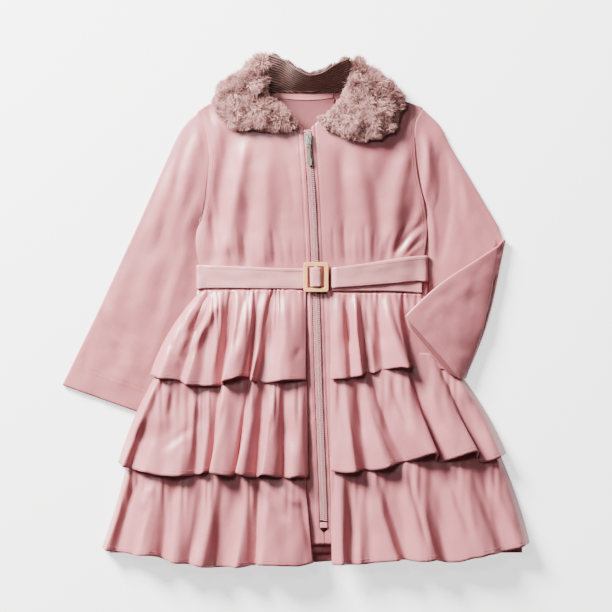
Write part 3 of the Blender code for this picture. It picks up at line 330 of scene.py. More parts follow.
# Second layer of belt under the right run: chart x, y of upper edge, y of lower edge.
BELT_TAIL = [(331.5, 271.0, 290.9), (350, 270.0, 291.0), (370, 269.0, 291.0), (390, 268.5, 291.2),
             (406, 268.4, 292.0), (416, 269.0, 292.8), (422.5, 269.5, 292.8)]


def belt_rest(x, y):
    """Middle height of belt lying on the front."""
    return (front_height(x, y) + 0.5 * WALL + SEAM_GAP + 0.0005 + 0.5 * BELT_WALL
            + 0.0006 * ease(272, 286, y))



SHELL = 0.0009


def noise(x, y, size, seed):
    """Smooth unevenness of about one unit: sixteen seeded sine waves, each of length `size` times
    0.6 to 1.7, running in seeded directions, summed and divided by the root of eight."""
    rng = np.random.default_rng(seed)
    total = 0.0 * (x + y)
    for _ in range(16):
        turn, phase = rng.uniform(0, 2 * math.pi, 2)
        wave = 2 * math.pi / (size * rng.uniform(0.6, 1.7))
        total = total + np.sin((x * math.cos(turn) + y * math.sin(turn)) * wave + phase)
    return total / math.sqrt(8.0)


def creases(table, x, y):
    """Soft troughs (depth below 0) and ridges, in metres: depth times exp(-(off / half)^2), where off
    is the distance from a line that bows sideways, faded at both ends of the line."""
    total = 0.0 * (x + y)
    for x0, y0, x1, y1, bow, half, depth in table:
        dx, dy = x1 - x0, y1 - y0
        length = math.hypot(dx, dy)
        t = ((x - x0) * dx + (y - y0) * dy) / length**2
        off = ((x - x0) * -dy + (y - y0) * dx) / length - bow * 4 * t * (1 - t)
        ends = ease(-0.10, 0.25, t) * (1 - ease(0.72, 1.10, t))
        total = total + depth * 0.001 * np.exp(-(off / half) ** 2) * ends
    return total


# Looks: each is built from plain shader nodes; sizes are metres on the piece's own UV map or object.
def look_start(name, rough, metallic=0.0, sheen=0.0):
    made = bpy.data.materials.new(name)
    made.use_nodes = True
    tree = made.node_tree
    shader = tree.nodes["Principled BSDF"]
    shader.inputs["Roughness"].default_value = rough
    shader.inputs["Metallic"].default_value = metallic
    shader.inputs["Sheen Weight"].default_value = sheen
    shader.inputs["Sheen Roughness"].default_value = 0.35
    return made, tree, shader


def node(tree, kind, **values):
    made = tree.nodes.new(kind)
    for key, value in values.items():
        if key.startswith("in_"):
            made.inputs[key[3:].replace("_", " ")].default_value = value
        else:
            setattr(made, key, value)
    return made


def mixed(tree, share, low, high):
    """Colour between low and high by a 0 to 1 share."""
    made = tree.nodes.new("ShaderNodeMix")
    made.data_type = "RGBA"
    tree.links.new(share, made.inputs[0])
    for slot, colour in ((6, low), (7, high)):
        if isinstance(colour, tuple):
            made.inputs[slot].default_value = (*colour, 1.0)
        else:
            tree.links.new(colour, made.inputs[slot])
    return made.outputs[2]


def spread(tree, value, low, high):
    """A value's range low to high stretched to 0 to 1, smoothly."""
    made = tree.nodes.new("ShaderNodeMapRange")
    made.interpolation_type = "SMOOTHSTEP"
    tree.links.new(value, made.inputs["Value"])
    made.inputs["From Min"].default_value = low
    made.inputs["From Max"].default_value = high
    return made.outputs["Result"]


def bump(tree, height, distance, strength, before=None):
    made = node(tree, "ShaderNodeBump", in_Distance=distance, in_Strength=strength)
    tree.links.new(height, made.inputs["Height"])
    if before is not None:
        tree.links.new(before, made.inputs["Normal"])
    return made.outputs["Normal"]


def place_noise(tree, coordinate, scale, detail=3.0, rough=0.5):
    made = node(tree, "ShaderNodeTexNoise", in_Scale=scale, in_Detail=detail, in_Roughness=rough)
    tree.links.new(coordinate, made.inputs["Vector"])
    return made.outputs["Fac"]


def bands(tree, coordinate, direction, pitch):
    """Bands across the UV map whose pitch is in metres."""
    made = node(tree, "ShaderNodeTexWave", bands_direction=direction, in_Scale=0.31416 / pitch)
    tree.links.new(coordinate, made.inputs["Vector"])
    return made.outputs["Fac"]


def cloth_look(name, dark, light, rough=0.42, sheen=0.35, weave=0.0009, crumple=0.00030):
    """Satin-faced woven cloth: two crossed band sets as the weave, fine crumpling, uneven colour."""
    made, tree, shader = look_start(name, rough, sheen=sheen)
    place_at = tree.nodes.new("ShaderNodeTexCoord")
    uv, at = place_at.outputs["UV"], place_at.outputs["Object"]
    broad = spread(tree, place_noise(tree, at, 9.0), 0.25, 0.75)
    fine = spread(tree, place_noise(tree, at, 240.0, 4.0, 0.6), 0.25, 0.75)
    colour = mixed(tree, broad, dark, light)
    colour = mixed(tree, fine, colour, tuple(0.5 * a + 0.5 * b * 1.05 for a, b in zip(dark, light)))
    tree.links.new(colour, shader.inputs["Base Color"])
    shader.inputs["Sheen Tint"].default_value = (1.0, 0.86, 0.86, 1.0)
    shader.inputs["Specular IOR Level"].default_value = 0.58
    weave_x = bump(tree, bands(tree, uv, "X", weave), 0.00006, 0.35)
    weave_y = bump(tree, bands(tree, uv, "Y", weave), 0.00006, 0.35, weave_x)
    soft = bump(tree, place_noise(tree, at, 60.0, 2.0, 0.5), crumple * 3.0, 0.35, weave_y)
    tree.links.new(bump(tree, place_noise(tree, at, 420.0, 2.0, 0.5), crumple * 0.5, 0.4, soft),
                   shader.inputs["Normal"])
    return made


COAT = cloth_look("dusty_pink_satin", (0.380, 0.116, 0.130), (0.430, 0.142, 0.157), 0.38, 0.12)
BELT = cloth_look("pale_pink_satin", (0.480, 0.185, 0.196), (0.530, 0.220, 0.232), 0.34, 0.08)
# Painted shade: a dark pink cloth for the sheets laid inside the neck and inside the cuff, where there is only
# shade.
PAINTED_SHADE_PINK = cloth_look("painted_shade_pink_cloth", (0.185, 0.044, 0.050), (0.235, 0.062, 0.070), 0.55, 0.15)
TAPE = cloth_look("pink_brown_tape", (0.46, 0.15, 0.155), (0.54, 0.20, 0.205), 0.7, 0.2, 0.0007, 0.0001)
THREAD = cloth_look("pink_thread", (0.46, 0.14, 0.15), (0.54, 0.19, 0.20), 0.55, 0.3, 0.0003, 0.0)


def rib_look():
    """Fine-ribbed knit: bands across the piece give the ribs their relief, and the same bands darken the colour in
    the grooves as painted shade.
    """
    made, tree, shader = look_start("brown_rib_knit", 0.85, sheen=0.3)
    place_at = tree.nodes.new("ShaderNodeTexCoord")
    uv, at = place_at.outputs["UV"], place_at.outputs["Object"]
    rib = bands(tree, uv, "Y", 0.0031)
    # Painted shade: colour darker where the rib bands dip into the grooves.
    colour = mixed(tree, spread(tree, rib, 0.2, 0.7), (0.085, 0.036, 0.030), (0.235, 0.115, 0.092))
    patch = spread(tree, place_noise(tree, at, 90.0), 0.45, 1.4)
    tree.links.new(mixed(tree, patch, colour, (0.23, 0.120, 0.098)), shader.inputs["Base Color"])
    loops = bump(tree, bands(tree, uv, "X", 0.0012), 0.0001, 0.4)
    tree.links.new(bump(tree, rib, 0.0007, 0.9, loops), shader.inputs["Normal"])
    return made


def fur_look(name, root, tip):
    """Pile: near black at the root and pale at the tip, the dark root being painted shade deep in the pile; each
    strand a little lighter or darker.
    """
    made, tree, shader = look_start(name, 0.72, sheen=0.5)
    along_hair = node(tree, "ShaderNodeAttribute", attribute_name="tip").outputs["Fac"]
    tint = node(tree, "ShaderNodeAttribute", attribute_name="tint").outputs["Fac"]
    colour = mixed(tree, along_hair, root, tip)
    tree.links.new(mixed(tree, tint, colour, (0.62, 0.34, 0.31)), shader.inputs["Base Color"])
    shader.inputs["Specular IOR Level"].default_value = 0.25
    return made


# Painted shade: the near-black root colour stands for the shade deep in the pile.
FUR = fur_look("mauve_pile", (0.050, 0.014, 0.012), (0.300, 0.112, 0.098))


def metal_look(name, colour, rough, metallic, grain):
    """Polished hard trim with faint uneven polish and scratches."""
    made, tree, shader = look_start(name, rough, metallic)
    at = tree.nodes.new("ShaderNodeTexCoord").outputs["Object"]
    patch = spread(tree, place_noise(tree, at, grain, 3.0), 0.3, 0.7)
    pale = tuple(min(1.0, c * 1.12) for c in colour)
    tree.links.new(mixed(tree, patch, colour, pale), shader.inputs["Base Color"])
    shader.inputs["Coat Weight"].default_value = 0.0 if metallic else 0.6
    tree.links.new(bump(tree, place_noise(tree, at, 900.0, 2.0), 0.00004, 0.3),
                   shader.inputs["Normal"])
    return made


SILVER = metal_look("brushed_silver", (0.72, 0.67, 0.60), 0.25, 0.9, 260.0)
BUCKLE = metal_look("cream_gold_gloss", (0.640, 0.330, 0.135), 0.25, 0.15, 55.0)
TEETH = metal_look("rose_zip_teeth", (0.480, 0.235, 0.245), 0.34, 0.0, 300.0)
FLOOR, floor_tree, floor_shader = look_start("pale_floor", 0.9)
floor_shader.inputs["Base Color"].default_value = (0.93, 0.925, 0.92, 1.0)
floor_shader.inputs["Emission Color"].default_value = (1.0, 1.0, 1.0, 1.0)
floor_shader.inputs["Emission Strength"].default_value = 1.3


def add_mesh(name, points, faces, look, uv=None, smooth=True, body="coat", nodes=(),
             values=None):
    """A mesh from a point array and an array of faces that all have the same corner count."""
    points = np.asarray(points, np.float32).reshape(-1, 3)
    faces = np.asarray(faces, np.int32)
    mesh = bpy.data.meshes.new(name)
    mesh.vertices.add(len(points))
    mesh.vertices.foreach_set("co", points.ravel())
    mesh.loops.add(faces.size)
    mesh.loops.foreach_set("vertex_index", faces.ravel())
    mesh.polygons.add(len(faces))
    mesh.polygons.foreach_set("loop_start", np.arange(0, faces.size, faces.shape[1], dtype=np.int32))
    mesh.polygons.foreach_set("use_smooth", np.full(len(faces), smooth))
    mesh.update(calc_edges=True)
    if uv is not None:
        layer = mesh.uv_layers.new(name="metres")
        layer.data.foreach_set("uv", np.asarray(uv, np.float32).ravel())
    for key, array in (values or {}).items():
        mesh.attributes.new(key, "FLOAT", "POINT").data.foreach_set(
            "value", np.asarray(array, np.float32).ravel())
    made = bpy.data.objects.new(name, mesh)
    mesh.materials.append(look)
    bpy.context.scene.collection.objects.link(made)
    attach(made, body)
    if nodes:
        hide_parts(*nodes)
    return made


def grid_faces(rows, columns, tube=False):
    """Four-cornered faces of a grid, and the column and row of each of their corners."""
    last = columns if tube else columns - 1
    r, c = np.meshgrid(np.arange(rows - 1), np.arange(last), indexing="ij")
    r, c = r.ravel(), c.ravel()
    rr = np.stack([r, r, r + 1, r + 1], -1)
    cc = np.stack([c, c + 1, c + 1, c], -1)
    return rr * columns + cc % columns, rr, cc


def lines_of(grid, tube):
    """Length of each row of the grid and of each column, in metres, and the grid's area."""
    full = np.concatenate([grid, grid[:, :1]], axis=1) if tube else grid
    across = np.linalg.norm(np.diff(full, axis=1), axis=2)
    down = np.linalg.norm(np.diff(full, axis=0), axis=2)
    one = full[1:, 1:] - full[:-1, :-1]
    two = full[1:, :-1] - full[:-1, 1:]
    area = 0.5 * np.linalg.norm(np.cross(one, two), axis=2).sum()
    return across, down, area


def cloth(name, grid, look, nodes, wall=SHELL, tube=False):
    """A thin cloth sheet on a grid of middle-surface points, with a UV map in metres along its rows and columns,
    thickened to the given wall by a Solidify modifier."""
    rows, columns = grid.shape[:2]
    faces, rr, cc = grid_faces(rows, columns, tube)
    across, down, area = lines_of(grid, tube)
    u = np.concatenate([np.zeros((rows, 1)), np.cumsum(across, axis=1)], axis=1)
    v = np.concatenate([np.zeros((1, down.shape[1])), np.cumsum(down, axis=0)], axis=0)
    uv = np.stack([u[rr, cc], v[rr, cc]], -1)
    made = add_mesh(name, grid, faces, look, uv, nodes=nodes)
    solid = made.modifiers.new("wall", "SOLIDIFY")
    solid.thickness = wall
    solid.offset = 0.0
    solid.use_even_offset = False
    return made


def row_line(grid, row, lift=0.0):
    """A row of a grid, raised along the surface's own normal."""
    normal = grid_normals(grid)
    return grid[row] + normal[row] * lift, normal[row]


def grid_normals(grid):
    """Unit normals of a grid from its neighbouring points, turned to point up."""
    along_row, along_column = np.gradient(grid, axis=1), np.gradient(grid, axis=0)
    normal = np.cross(along_row, along_column)
    normal = normal / np.maximum(np.linalg.norm(normal, axis=2, keepdims=True), 1e-12)
    return np.where(normal[..., 2:] < 0, -normal, normal)


# A stitch: a six-sided rod with flat ends, lying along its first axis, one unit long, wide and high.
ROD_TURN = np.arange(6) * math.pi / 3
ROD = np.concatenate([np.stack([np.full(6, end), 0.5 * np.cos(ROD_TURN), 0.5 * np.sin(ROD_TURN)], 1)
                      for end in (-0.5, 0.5)])
ROD_FACES = np.array([(i, (i + 1) % 6, 6 + (i + 1) % 6, 6 + i) for i in range(6)]
                     + [(3, 2, 1, 0), (0, 5, 4, 3), (6, 7, 8, 9), (9, 10, 11, 6)])


def rods_on(line, normal, pitch, size):
    """Rods of size (length, width, height) laid end to end along a line at an even pitch: each is
    the unit rod times its size, turned to the line's direction and the surface normal."""
    step = np.linalg.norm(np.diff(line, axis=0), axis=1)
    run = np.concatenate([[0.0], np.cumsum(step)])
    at = np.arange(pitch * 0.6, run[-1] - pitch * 0.4, pitch)
    spots = np.stack([np.interp(at, run, line[:, i]) for i in range(3)], 1)
    ahead = np.stack([np.interp(at + 0.3 * pitch, run, line[:, i]) for i in range(3)], 1)
    behind = np.stack([np.interp(at - 0.3 * pitch, run, line[:, i]) for i in range(3)], 1)
    up = np.stack([np.interp(at, run, normal[:, i]) for i in range(3)], 1)
    forward = ahead - behind
    forward = forward / np.linalg.norm(forward, axis=1, keepdims=True)
    side = np.cross(up, forward)
    side = side / np.linalg.norm(side, axis=1, keepdims=True)
    up = np.cross(forward, side)
    frames = np.stack([forward, side, up], 1) * np.array(size)[None, :, None]
    return spots[:, None, :] + np.einsum("kj,nji->nki", ROD, frames)


def rods(name, groups, look, nodes=()):
    """All the rods of several lines as one mesh."""
    points = np.concatenate(groups)
    faces = ROD_FACES[None] + 12 * np.arange(len(points))[:, None, None]
    return add_mesh(name, points, faces.reshape(-1, 4), look, smooth=False, nodes=nodes)


STITCH = (0.0020, 0.00055, 0.00040)
stitches = []


def sew(line, normal, lift=0.00055, pitch=0.0028):
    stitches.append(rods_on(line + normal * lift, normal, pitch, STITCH))


# Creases of the fronts: start x, y, end x, y, sideways bow, half width, depth in mm.
FRONT_CREASES = [
    (200, 111, 211, 143, 1.0, 2.6, -1.3), (207, 108, 219, 136, 1.0, 3.0, -0.9),
    (214, 118, 222, 160, -1.5, 3.6, 0.8), (207, 175, 220, 258, 3.0, 4.0, -1.3),
    (214, 196, 226, 264, 1.5, 2.6, 0.8), (226, 214, 233, 266, 1.2, 2.4, -1.0),
    (236, 226, 240, 266, 1.0, 2.3, 0.7), (243, 232, 248, 267, 0.8, 2.2, -0.9),
    (255, 224, 257, 267, 0.8, 2.6, -0.8), (263, 236, 265, 267, 0.5, 2.2, 0.6),
    (271, 226, 275, 267, -0.8, 2.4, -0.8), (281, 236, 285, 267, -0.5, 2.2, -0.6),
    (292, 240, 294, 267, 0.4, 2.0, -0.5), (232, 150, 252, 210, 3.0, 5.0, -0.7),
    (258, 140, 272, 200, 4.0, 6.0, 0.7), (286, 160, 294, 215, -2.0, 4.0, -0.6),
    (342, 150, 354, 214, 3.0, 6.0, -0.8), (333, 226, 335, 264, 0.5, 2.2, -0.6),
    (344, 218, 346, 265, 0.8, 2.6, -0.8), (355, 232, 356, 265, 0.5, 2.2, 0.6),
    (364, 222, 365, 265, -0.6, 2.4, -0.9), (374, 232, 374, 264, 0.5, 2.2, -0.7),
    (382, 240, 380, 264, 0.5, 2.0, 0.6), (392, 232, 386, 262, 1.0, 2.4, -0.9),
    (408, 222, 394, 260, 2.0, 2.4, -1.2), (424, 222, 396, 255, 2.5, 2.8, -1.3),
    (427, 236, 400, 262, 1.5, 2.0, -0.9), (426, 229, 404, 250, 1.5, 2.2, 0.8),
    (408, 150, 392, 222, 4.0, 6.0, 0.7), (418, 152, 404, 214, 3.0, 4.0, -0.4),
    (421, 112, 410, 142, -1.0, 2.6, -1.1), (412, 110, 402, 136, -1.0, 3.0, -0.7),
    (372, 150, 384, 196, 3.0, 6.0, 0.7)]
# Smaller creases of the ruffles, in the same columns.
TIER_CREASES = [
    (210, 294, 191, 334, -2.0, 3.4, -2.2), (222, 292, 184, 358, -3.0, 3.0, 1.2),
    (224, 297, 211, 376, -2.0, 3.0, 1.3), (203, 330, 203, 376, 0.0, 5.0, -1.6), (232, 290, 227, 366, 0.0, 3.0, -2.4),
    (247, 290, 238, 352, 1.0, 3.2, -1.8), (274, 290, 256, 368, 2.0, 2.8, -2.6),
    (282, 300, 287, 362, 2.0, 4.0, 1.1), (300, 348, 291, 374, 1.0, 2.6, -0.9),
    (170, 340, 182, 362, 2.0, 3.0, -1.0), (186, 336, 176, 366, 1.0, 3.0, 0.9),
    (202, 320, 196, 372, 2.0, 4.0, 1.0), (244, 306, 240, 366, 0.0, 3.0, 1.0),
    (160, 450, 192, 426, 2.0, 3.2, -1.1), (164, 468, 190, 440, 2.0, 2.8, -0.9),
    (188, 386, 188, 452, -1.0, 2.4, -1.3), (178, 380, 168, 420, 1.0, 3.0, -0.9),
    (196, 392, 204, 440, 3.0, 4.0, 1.1), (222, 408, 214, 470, 0.0, 2.4, -1.3),
    (250, 406, 240, 470, 0.0, 2.4, -1.3), (272, 416, 266, 474, 0.0, 2.4, -1.2),
    (283, 384, 279, 452, 0.0, 2.6, -1.3), (290, 410, 298, 460, 2.0, 2.6, -1.0),
    (140, 478, 124, 530, 2.0, 2.8, -1.1), (152, 486, 144, 510, 2.0, 3.0, 1.0),
    (175, 478, 172, 552, 0.0, 2.4, -1.3), (196, 486, 190, 552, 0.0, 3.0, 0.9),
    (264, 480, 260, 560, 0.0, 2.4, -1.4), (280, 486, 300, 504, 2.0, 3.0, 1.1),
    (268, 492, 288, 520, 3.0, 3.4, -0.9), (300, 484, 312, 552, 2.0, 2.6, -1.0),
    (343, 294, 349, 350, -1.0, 2.4, -1.3), (352, 296, 360, 366, -1.0, 3.4, 1.0),
    (364, 294, 372, 340, 1.0, 2.4, -1.3), (380, 294, 386, 350, 1.0, 2.6, -1.3),
    (392, 296, 404, 352, 2.0, 2.4, -1.2), (404, 296, 418, 340, 2.0, 1.8, -0.9),
    (340, 380, 346, 452, 0.0, 2.6, -1.1), (356, 378, 366, 440, 2.0, 2.8, -1.2),
    (372, 376, 384, 430, 3.0, 3.0, 1.1), (392, 376, 410, 436, 2.0, 2.6, -1.3),
    (412, 376, 424, 430, 2.0, 3.0, -1.1), (428, 378, 448, 446, 3.0, 3.4, 1.1),
    (446, 384, 470, 440, 3.0, 3.0, -1.2), (462, 396, 486, 448, 2.0, 3.0, -0.9),
    (346, 476, 352, 548, 0.0, 2.8, -1.2), (366, 474, 378, 530, 3.0, 3.0, 1.0),
    (380, 474, 398, 540, 2.0, 2.6, -1.3), (408, 470, 424, 546, 0.0, 2.6, -1.2),
    (430, 470, 446, 540, 3.0, 3.4, 1.1), (446, 466, 468, 536, 0.0, 2.8, -1.2),
    (470, 466, 494, 530, 2.0, 3.2, -1.1), (486, 470, 514, 528, 2.0, 3.0, 0.9)]
# Broad hollows of the ruffles and the narrow crests between them.
TIER_WAVES = [
    (205, 316, 193, 374, 0.0, 9.0, -2.2), (226, 300, 220, 374, 0.0, 5.0, -1.4),
    (277, 318, 265, 374, 0.0, 8.0, -2.0), (178, 386, 165, 450, 0.0, 10.0, -2.4),
    (196, 387, 190, 470, 0.0, 2.6, 1.5), (200, 410, 212, 464, 0.0, 6.0, -1.6),
    (240, 388, 228, 466, 0.0, 7.0, -2.0), (223, 388, 214, 470, 0.0, 2.6, 1.5),
    (262, 388, 252, 470, 0.0, 6.0, -1.9), (252, 395, 238, 470, 0.0, 2.6, 1.4),
    (274, 388, 265, 474, 0.0, 2.8, 1.4), (285, 420, 299, 472, 0.0, 6.0, -1.6),
    (128, 488, 116, 548, 0.0, 8.0, -1.8), (160, 484, 152, 550, 0.0, 8.0, -1.8),
    (205, 484, 200, 556, 0.0, 8.0, -1.9), (240, 484, 236, 558, 0.0, 7.0, -1.8),
    (286, 500, 288, 556, 0.0, 8.0, -1.7), (350, 296, 350, 350, 0.0, 5.0, -1.4),
    (378, 300, 384, 356, 0.0, 7.0, -1.8), (364, 386, 374, 456, 0.0, 7.0, -1.8),
    (384, 400, 396, 456, 0.0, 7.0, -1.6), (418, 378, 438, 440, 0.0, 7.0, -2.0),
    (468, 396, 486, 446, 0.0, 8.0, -1.8), (358, 478, 356, 552, 0.0, 8.0, -2.0),
    (396, 474, 408, 548, 0.0, 8.0, -1.9), (434, 470, 448, 540, 0.0, 8.0, -1.9),
    (484, 470, 510, 536, 0.0, 9.0, -1.8), (462, 466, 474, 540, 0.0, 3.5, 1.4)]
# Widths and depths of those creases against the table.
TIER_SHARE = np.array([1, 1, 1, 1, 1, 1.3, 1.65])
# Broad soft waves of the fronts, in the same columns.
FRONT_WAVES = [
    (236, 118, 210, 268, 2.0, 8.5, -2.6), (250, 132, 224, 270, 3.0, 6.5, 2.2),
    (252, 178, 246, 272, 1.0, 7.0, -2.0), (212, 128, 202, 236, -2.0, 6.0, 1.5),
    (270, 140, 264, 274, 1.0, 7.0, 1.2), (282, 196, 276, 272, 1.0, 6.0, -1.1),
    (288, 128, 300, 150, 2.0, 5.0, -1.0), (352, 128, 372, 268, -2.0, 8.0, 1.2),
    (340, 150, 346, 268, 0.0, 7.0, -1.3), (378, 168, 384, 270, 2.0, 7.0, -1.5),
    (414, 132, 391, 252, 4.0, 8.0, 1.3), (425, 176, 404, 250, 3.0, 6.0, -1.1),
    (428, 204, 402, 262, 3.0, 5.0, 1.7), (400, 132, 382, 190, 3.0, 7.0, -1.1)]
# Creases of the sleeves, seen from above.
SLEEVE_CREASES = [
    (194, 128, 176, 196, 4.0, 4.5, -1.5), (186, 134, 166, 210, 5.0, 5.5, 1.3),
    (176, 150, 150, 214, 4.0, 4.0, -1.0), (198, 182, 176, 262, 5.0, 4.5, -1.7),
    (190, 214, 172, 270, 3.0, 3.6, 1.1), (166, 214, 148, 262, -3.0, 4.0, -1.3),
    (152, 206, 134, 250, -3.0, 4.0, 1.0), (176, 262, 158, 318, 3.0, 4.0, -1.3),
    (192, 266, 176, 322, 2.0, 3.6, 1.0), (140, 226, 118, 284, 3.0, 3.2, -1.0),
    (98, 308, 118, 340, 2.0, 3.4, -1.6), (118, 340, 130, 382, 2.0, 3.6, -1.5),
    (104, 300, 130, 330, 2.0, 4.5, 1.1), (148, 300, 132, 360, -3.0, 4.5, -1.1),
    (164, 310, 146, 372, -3.0, 4.0, 1.0), (90, 340, 84, 380, 2.0, 3.2, -0.8),
    (112, 352, 100, 388, -2.0, 3.4, 0.8), (150, 370, 140, 402, 1.0, 3.0, -0.8),
    (206, 112, 178, 236, 6.0, 9.0, 3.0), (174, 160, 150, 250, 4.0, 8.0, 2.0),
    (160, 250, 138, 330, 3.0, 9.0, 2.2), (128, 258, 104, 330, 3.0, 9.0, 1.8),
    (140, 330, 112, 392, -3.0, 8.0, 1.8), (186, 250, 166, 330, 4.0, 7.0, 2.0),
    (436, 122, 472, 214, -5.0, 9.0, 3.2), (424, 130, 430, 190, -2.0, 4.5, 2.2),
    (470, 196, 500, 240, 3.0, 7.0, 1.6), (456, 246, 480, 258, 3.0, 6.0, 1.6),
    (445, 138, 447, 236, 1.0, 7.0, -3.4), (428, 138, 424, 210, 0.0, 4.0, 1.7),
    (449, 146, 462, 214, -3.0, 4.5, -1.1), (434, 200, 440, 262, -4.0, 5.5, -2.0),
    (446, 208, 456, 250, -3.0, 4.0, 1.2), (462, 180, 482, 236, 3.0, 4.5, 1.1),
    (468, 202, 494, 246, 3.0, 3.4, -1.2), (452, 232, 478, 262, 2.0, 3.2, -1.0)]
FOREARM_CREASES = [
    (500, 246, 470, 290, 4.0, 4.0, -1.0), (494, 268, 458, 296, 4.0, 5.0, 0.9),
    (489, 300, 452, 308, 3.0, 4.5, -1.0), (484, 330, 448, 324, -3.0, 5.0, 0.8),
    (478, 352, 446, 340, -3.0, 4.0, -0.9), (462, 282, 430, 306, 3.0, 4.0, -0.7),
    (446, 300, 424, 322, 2.0, 3.6, 0.6)]


def placket(x, y):
    """Grooves and folded edge beside the zip, in metres: two narrow troughs and a low welt."""
    off = x - along(ZIP_LINE, y)
    out = -0.00045 * np.exp(-((off + 8.6) / 0.9) ** 2) - 0.00045 * np.exp(-((off - 8.2) / 0.9) ** 2)
    return out + 0.00025 * np.exp(-((np.abs(off) - 6.4) / 1.2) ** 2)


def bodice_height(x, y):
    """Front height with its listed creases, the placket and broad unevenness, calm at the edges."""
    u = side_part(x, y, BODY_LEFT, BODY_RIGHT)
    calm = ease(0.0, 0.10, 1 - u)
    edge = 0.0013 * np.clip(1 - ((y - 164) / 56.0) ** 2, 0, 1) * u**4
    return (front_height(x, y) + placket(x, y) + creases(FRONT_CREASES, x, y) * (0.25 + 0.75 * calm)
            + creases(FRONT_WAVES, x, y) * calm + edge + 0.00014 * noise(x, y, 34.0, 3) * calm)


def bodice_front(name, left, node_name):
    """Front panel: columns run from the side edge to the zip, closer together near the zip."""
    across = 1 - (1 - np.linspace(0, 1, 96)) ** 1.35
    down = np.linspace(0, 1, 120)
    top = along(FRONT_TOP_LEFT if left else FRONT_TOP_RIGHT, across)
    y = top[None, :] + (WAIST - top)[None, :] * down[:, None]
    side = along(BODY_LEFT if left else BODY_RIGHT, y)
    middle = along(ZIP_LINE, y) + (-ZIP_HALF_OPENING if left else ZIP_HALF_OPENING)
    x = side + (middle - side) * across[None, :]
    grid = place(x, y, bodice_height(x, y))
    cloth(name, grid, COAT, [node_name])
    normal = grid_normals(grid)
    first = int(np.argmax(np.abs(across - 0.978) < 0.02))
    line = slice(14, 110)
    sew(grid[line, first], normal[line, first])
    edge = 3
    sew(grid[6:100, edge], normal[6:100, edge])
    return grid


def skirt_panel(name, left, node_name):
    """Skirt front under the tiers: straight rows, columns close together near the zip."""
    across = 1 - (1 - np.linspace(0, 1, 60)) ** 1.6
    y = np.linspace(277.5, 544, 110)
    opening = ZIP_HALF_OPENING - 4.1 * ease(528, 533, y)
    middle = along(ZIP_LINE, y) + (-opening if left else opening)
    side = along(SKIRT_LEFT if left else SKIRT_RIGHT, y)
    side = side + (-10.5 if left else 11.5) * (1 - ease(291, 306, y))
    x = side[:, None] + (middle - side)[:, None] * across[None, :]
    y = np.repeat(y[:, None], len(across), 1)
    calm = ease(290, 300, y) * ease(0, 0.1, 1 - side_part(x, y, SKIRT_LEFT, SKIRT_RIGHT))
    z = front_height(x, y) + placket(x, y) + 0.00018 * noise(x, y, 22.0, 5) * calm
    grid = place(x, y, z)
    cloth(name, grid, COAT, [node_name])
    normal = grid_normals(grid)
    column = int(np.argmin(np.abs(x[50] - (along(ZIP_LINE, y[50, 0]) + (-6.3 if left else 6.3)))))
    sew(grid[5:104, column], normal[5:104, column])
    return grid


def gathers(x, v, seed):
    """Fine gathers under a tier's top seam, in metres: a sine across whose phase wanders, deepest at
    the seam and gone by a third of the way down, over longer pleats that fade by two thirds."""
    wander = noise(x, 0.0 * x, 34.0, seed) * 1.6
    size = 1.0 + 0.35 * noise(x, 0.0 * x, 17.0, seed + 1)
    fine = 0.00036 * size * np.sin(2 * math.pi * x / 5.6 + wander) * np.exp(-(v / 0.15) ** 1.5)
    long = 0.00065 * np.sin(2 * math.pi * x / 12.5 + 1.7 * wander) * np.exp(-((v - 0.25) / 0.26) ** 2)
    return fine + long


def finer(values, times):
    for _ in range(times):
        values = between(values)
    return values


def tier(name, number, folds, seed, rows=44):
    """Gathered tier over the skirt: each fold row runs from the gathered top to its hem, the mean
    height rises as the share down to the power 1.25 and the fold's own part as the power 0.6, or 0.9
    in the two lower tiers, which start under the hem above, and the
    folds between rows follow a smooth curve.
    Crests lean sideways over the trough beside them, and gathers and unevenness are added."""
    v = np.linspace(0, 1, rows)[:, None]
    x_top, x_hem, bow, y_hem = (np.array([row[i] for row in folds], float)[None, :]
                                for i in range(4))
    turned = np.array([row[4] is None for row in folds])[None, :]
    height = np.array([0.0 if row[4] is None else row[4] * 0.001 for row in folds])[None, :]
    x = x_top + (x_hem - x_top) * v + bow * 4 * v * (1 - v)
    y = along(TIER_TOPS[number], x_top)
    y = y + (y_hem - y) * v
    start = 0.0023
    level = 0.0082
    rise = np.where(height > level, 1.15, 2.2) * (height - level)
    above = start + (level - start) * v**1.25 + rise * v ** (0.6 if number == 1 else 0.9)
    z = np.where(turned, SIDE_TURN_HEIGHT + side_lift(x, y), front_height(x, y) + above)
    away = finer(np.where(turned, 0.0, 1.0) + 0 * v, 3)
    above = finer(np.where(turned, start, above), 3)
    x, y, z = finer(x, 3), finer(y, 3), finer(z, 3)
    side = -1.0 if x.mean() < 318 else 1.0
    away = np.clip(away, 0, 1) ** 2
    lean = side * 520.0 * np.clip(above - 0.0085, 0, None) * away
    relief = (gathers(x, v, seed) + creases(np.array(TIER_CREASES) * TIER_SHARE, x, y)
              + creases(TIER_WAVES, x, y)) * (1 - ease(0.93, 1.0, v) * 0.4)
    if number > 1:
        relief = np.minimum(relief, 0) + np.maximum(relief, 0) * ease(0.12, 0.38, v)
    if number < 3:
        relief = np.maximum(relief, 0) + np.minimum(relief, 0) * (1 - 0.85 * ease(0.55, 0.85, v))
    z = z + (relief + 0.00022 * noise(x, y * 0.35, 16.0, seed + 2) * ease(0.1, 0.5, v)
             + 0.00016 * np.sin(2 * math.pi * x / 9.5 + 2.0 * noise(x, 0 * x, 25.0, seed + 4))
             * ease(0.82, 1.0, v)) * away
    y = y + 0.35 * noise(x, 0 * x, 22.0, seed + 3) * ease(0.75, 1.0, v) * away
    grid = place(x + lean, y, z)
    node_name = name.replace("_cloth", "")
    cloth(name, grid, COAT, [node_name])
    normal = grid_normals(grid)
    hem = rows - 3
    sew(grid[hem, 6:-6], normal[hem, 6:-6])
    return grid


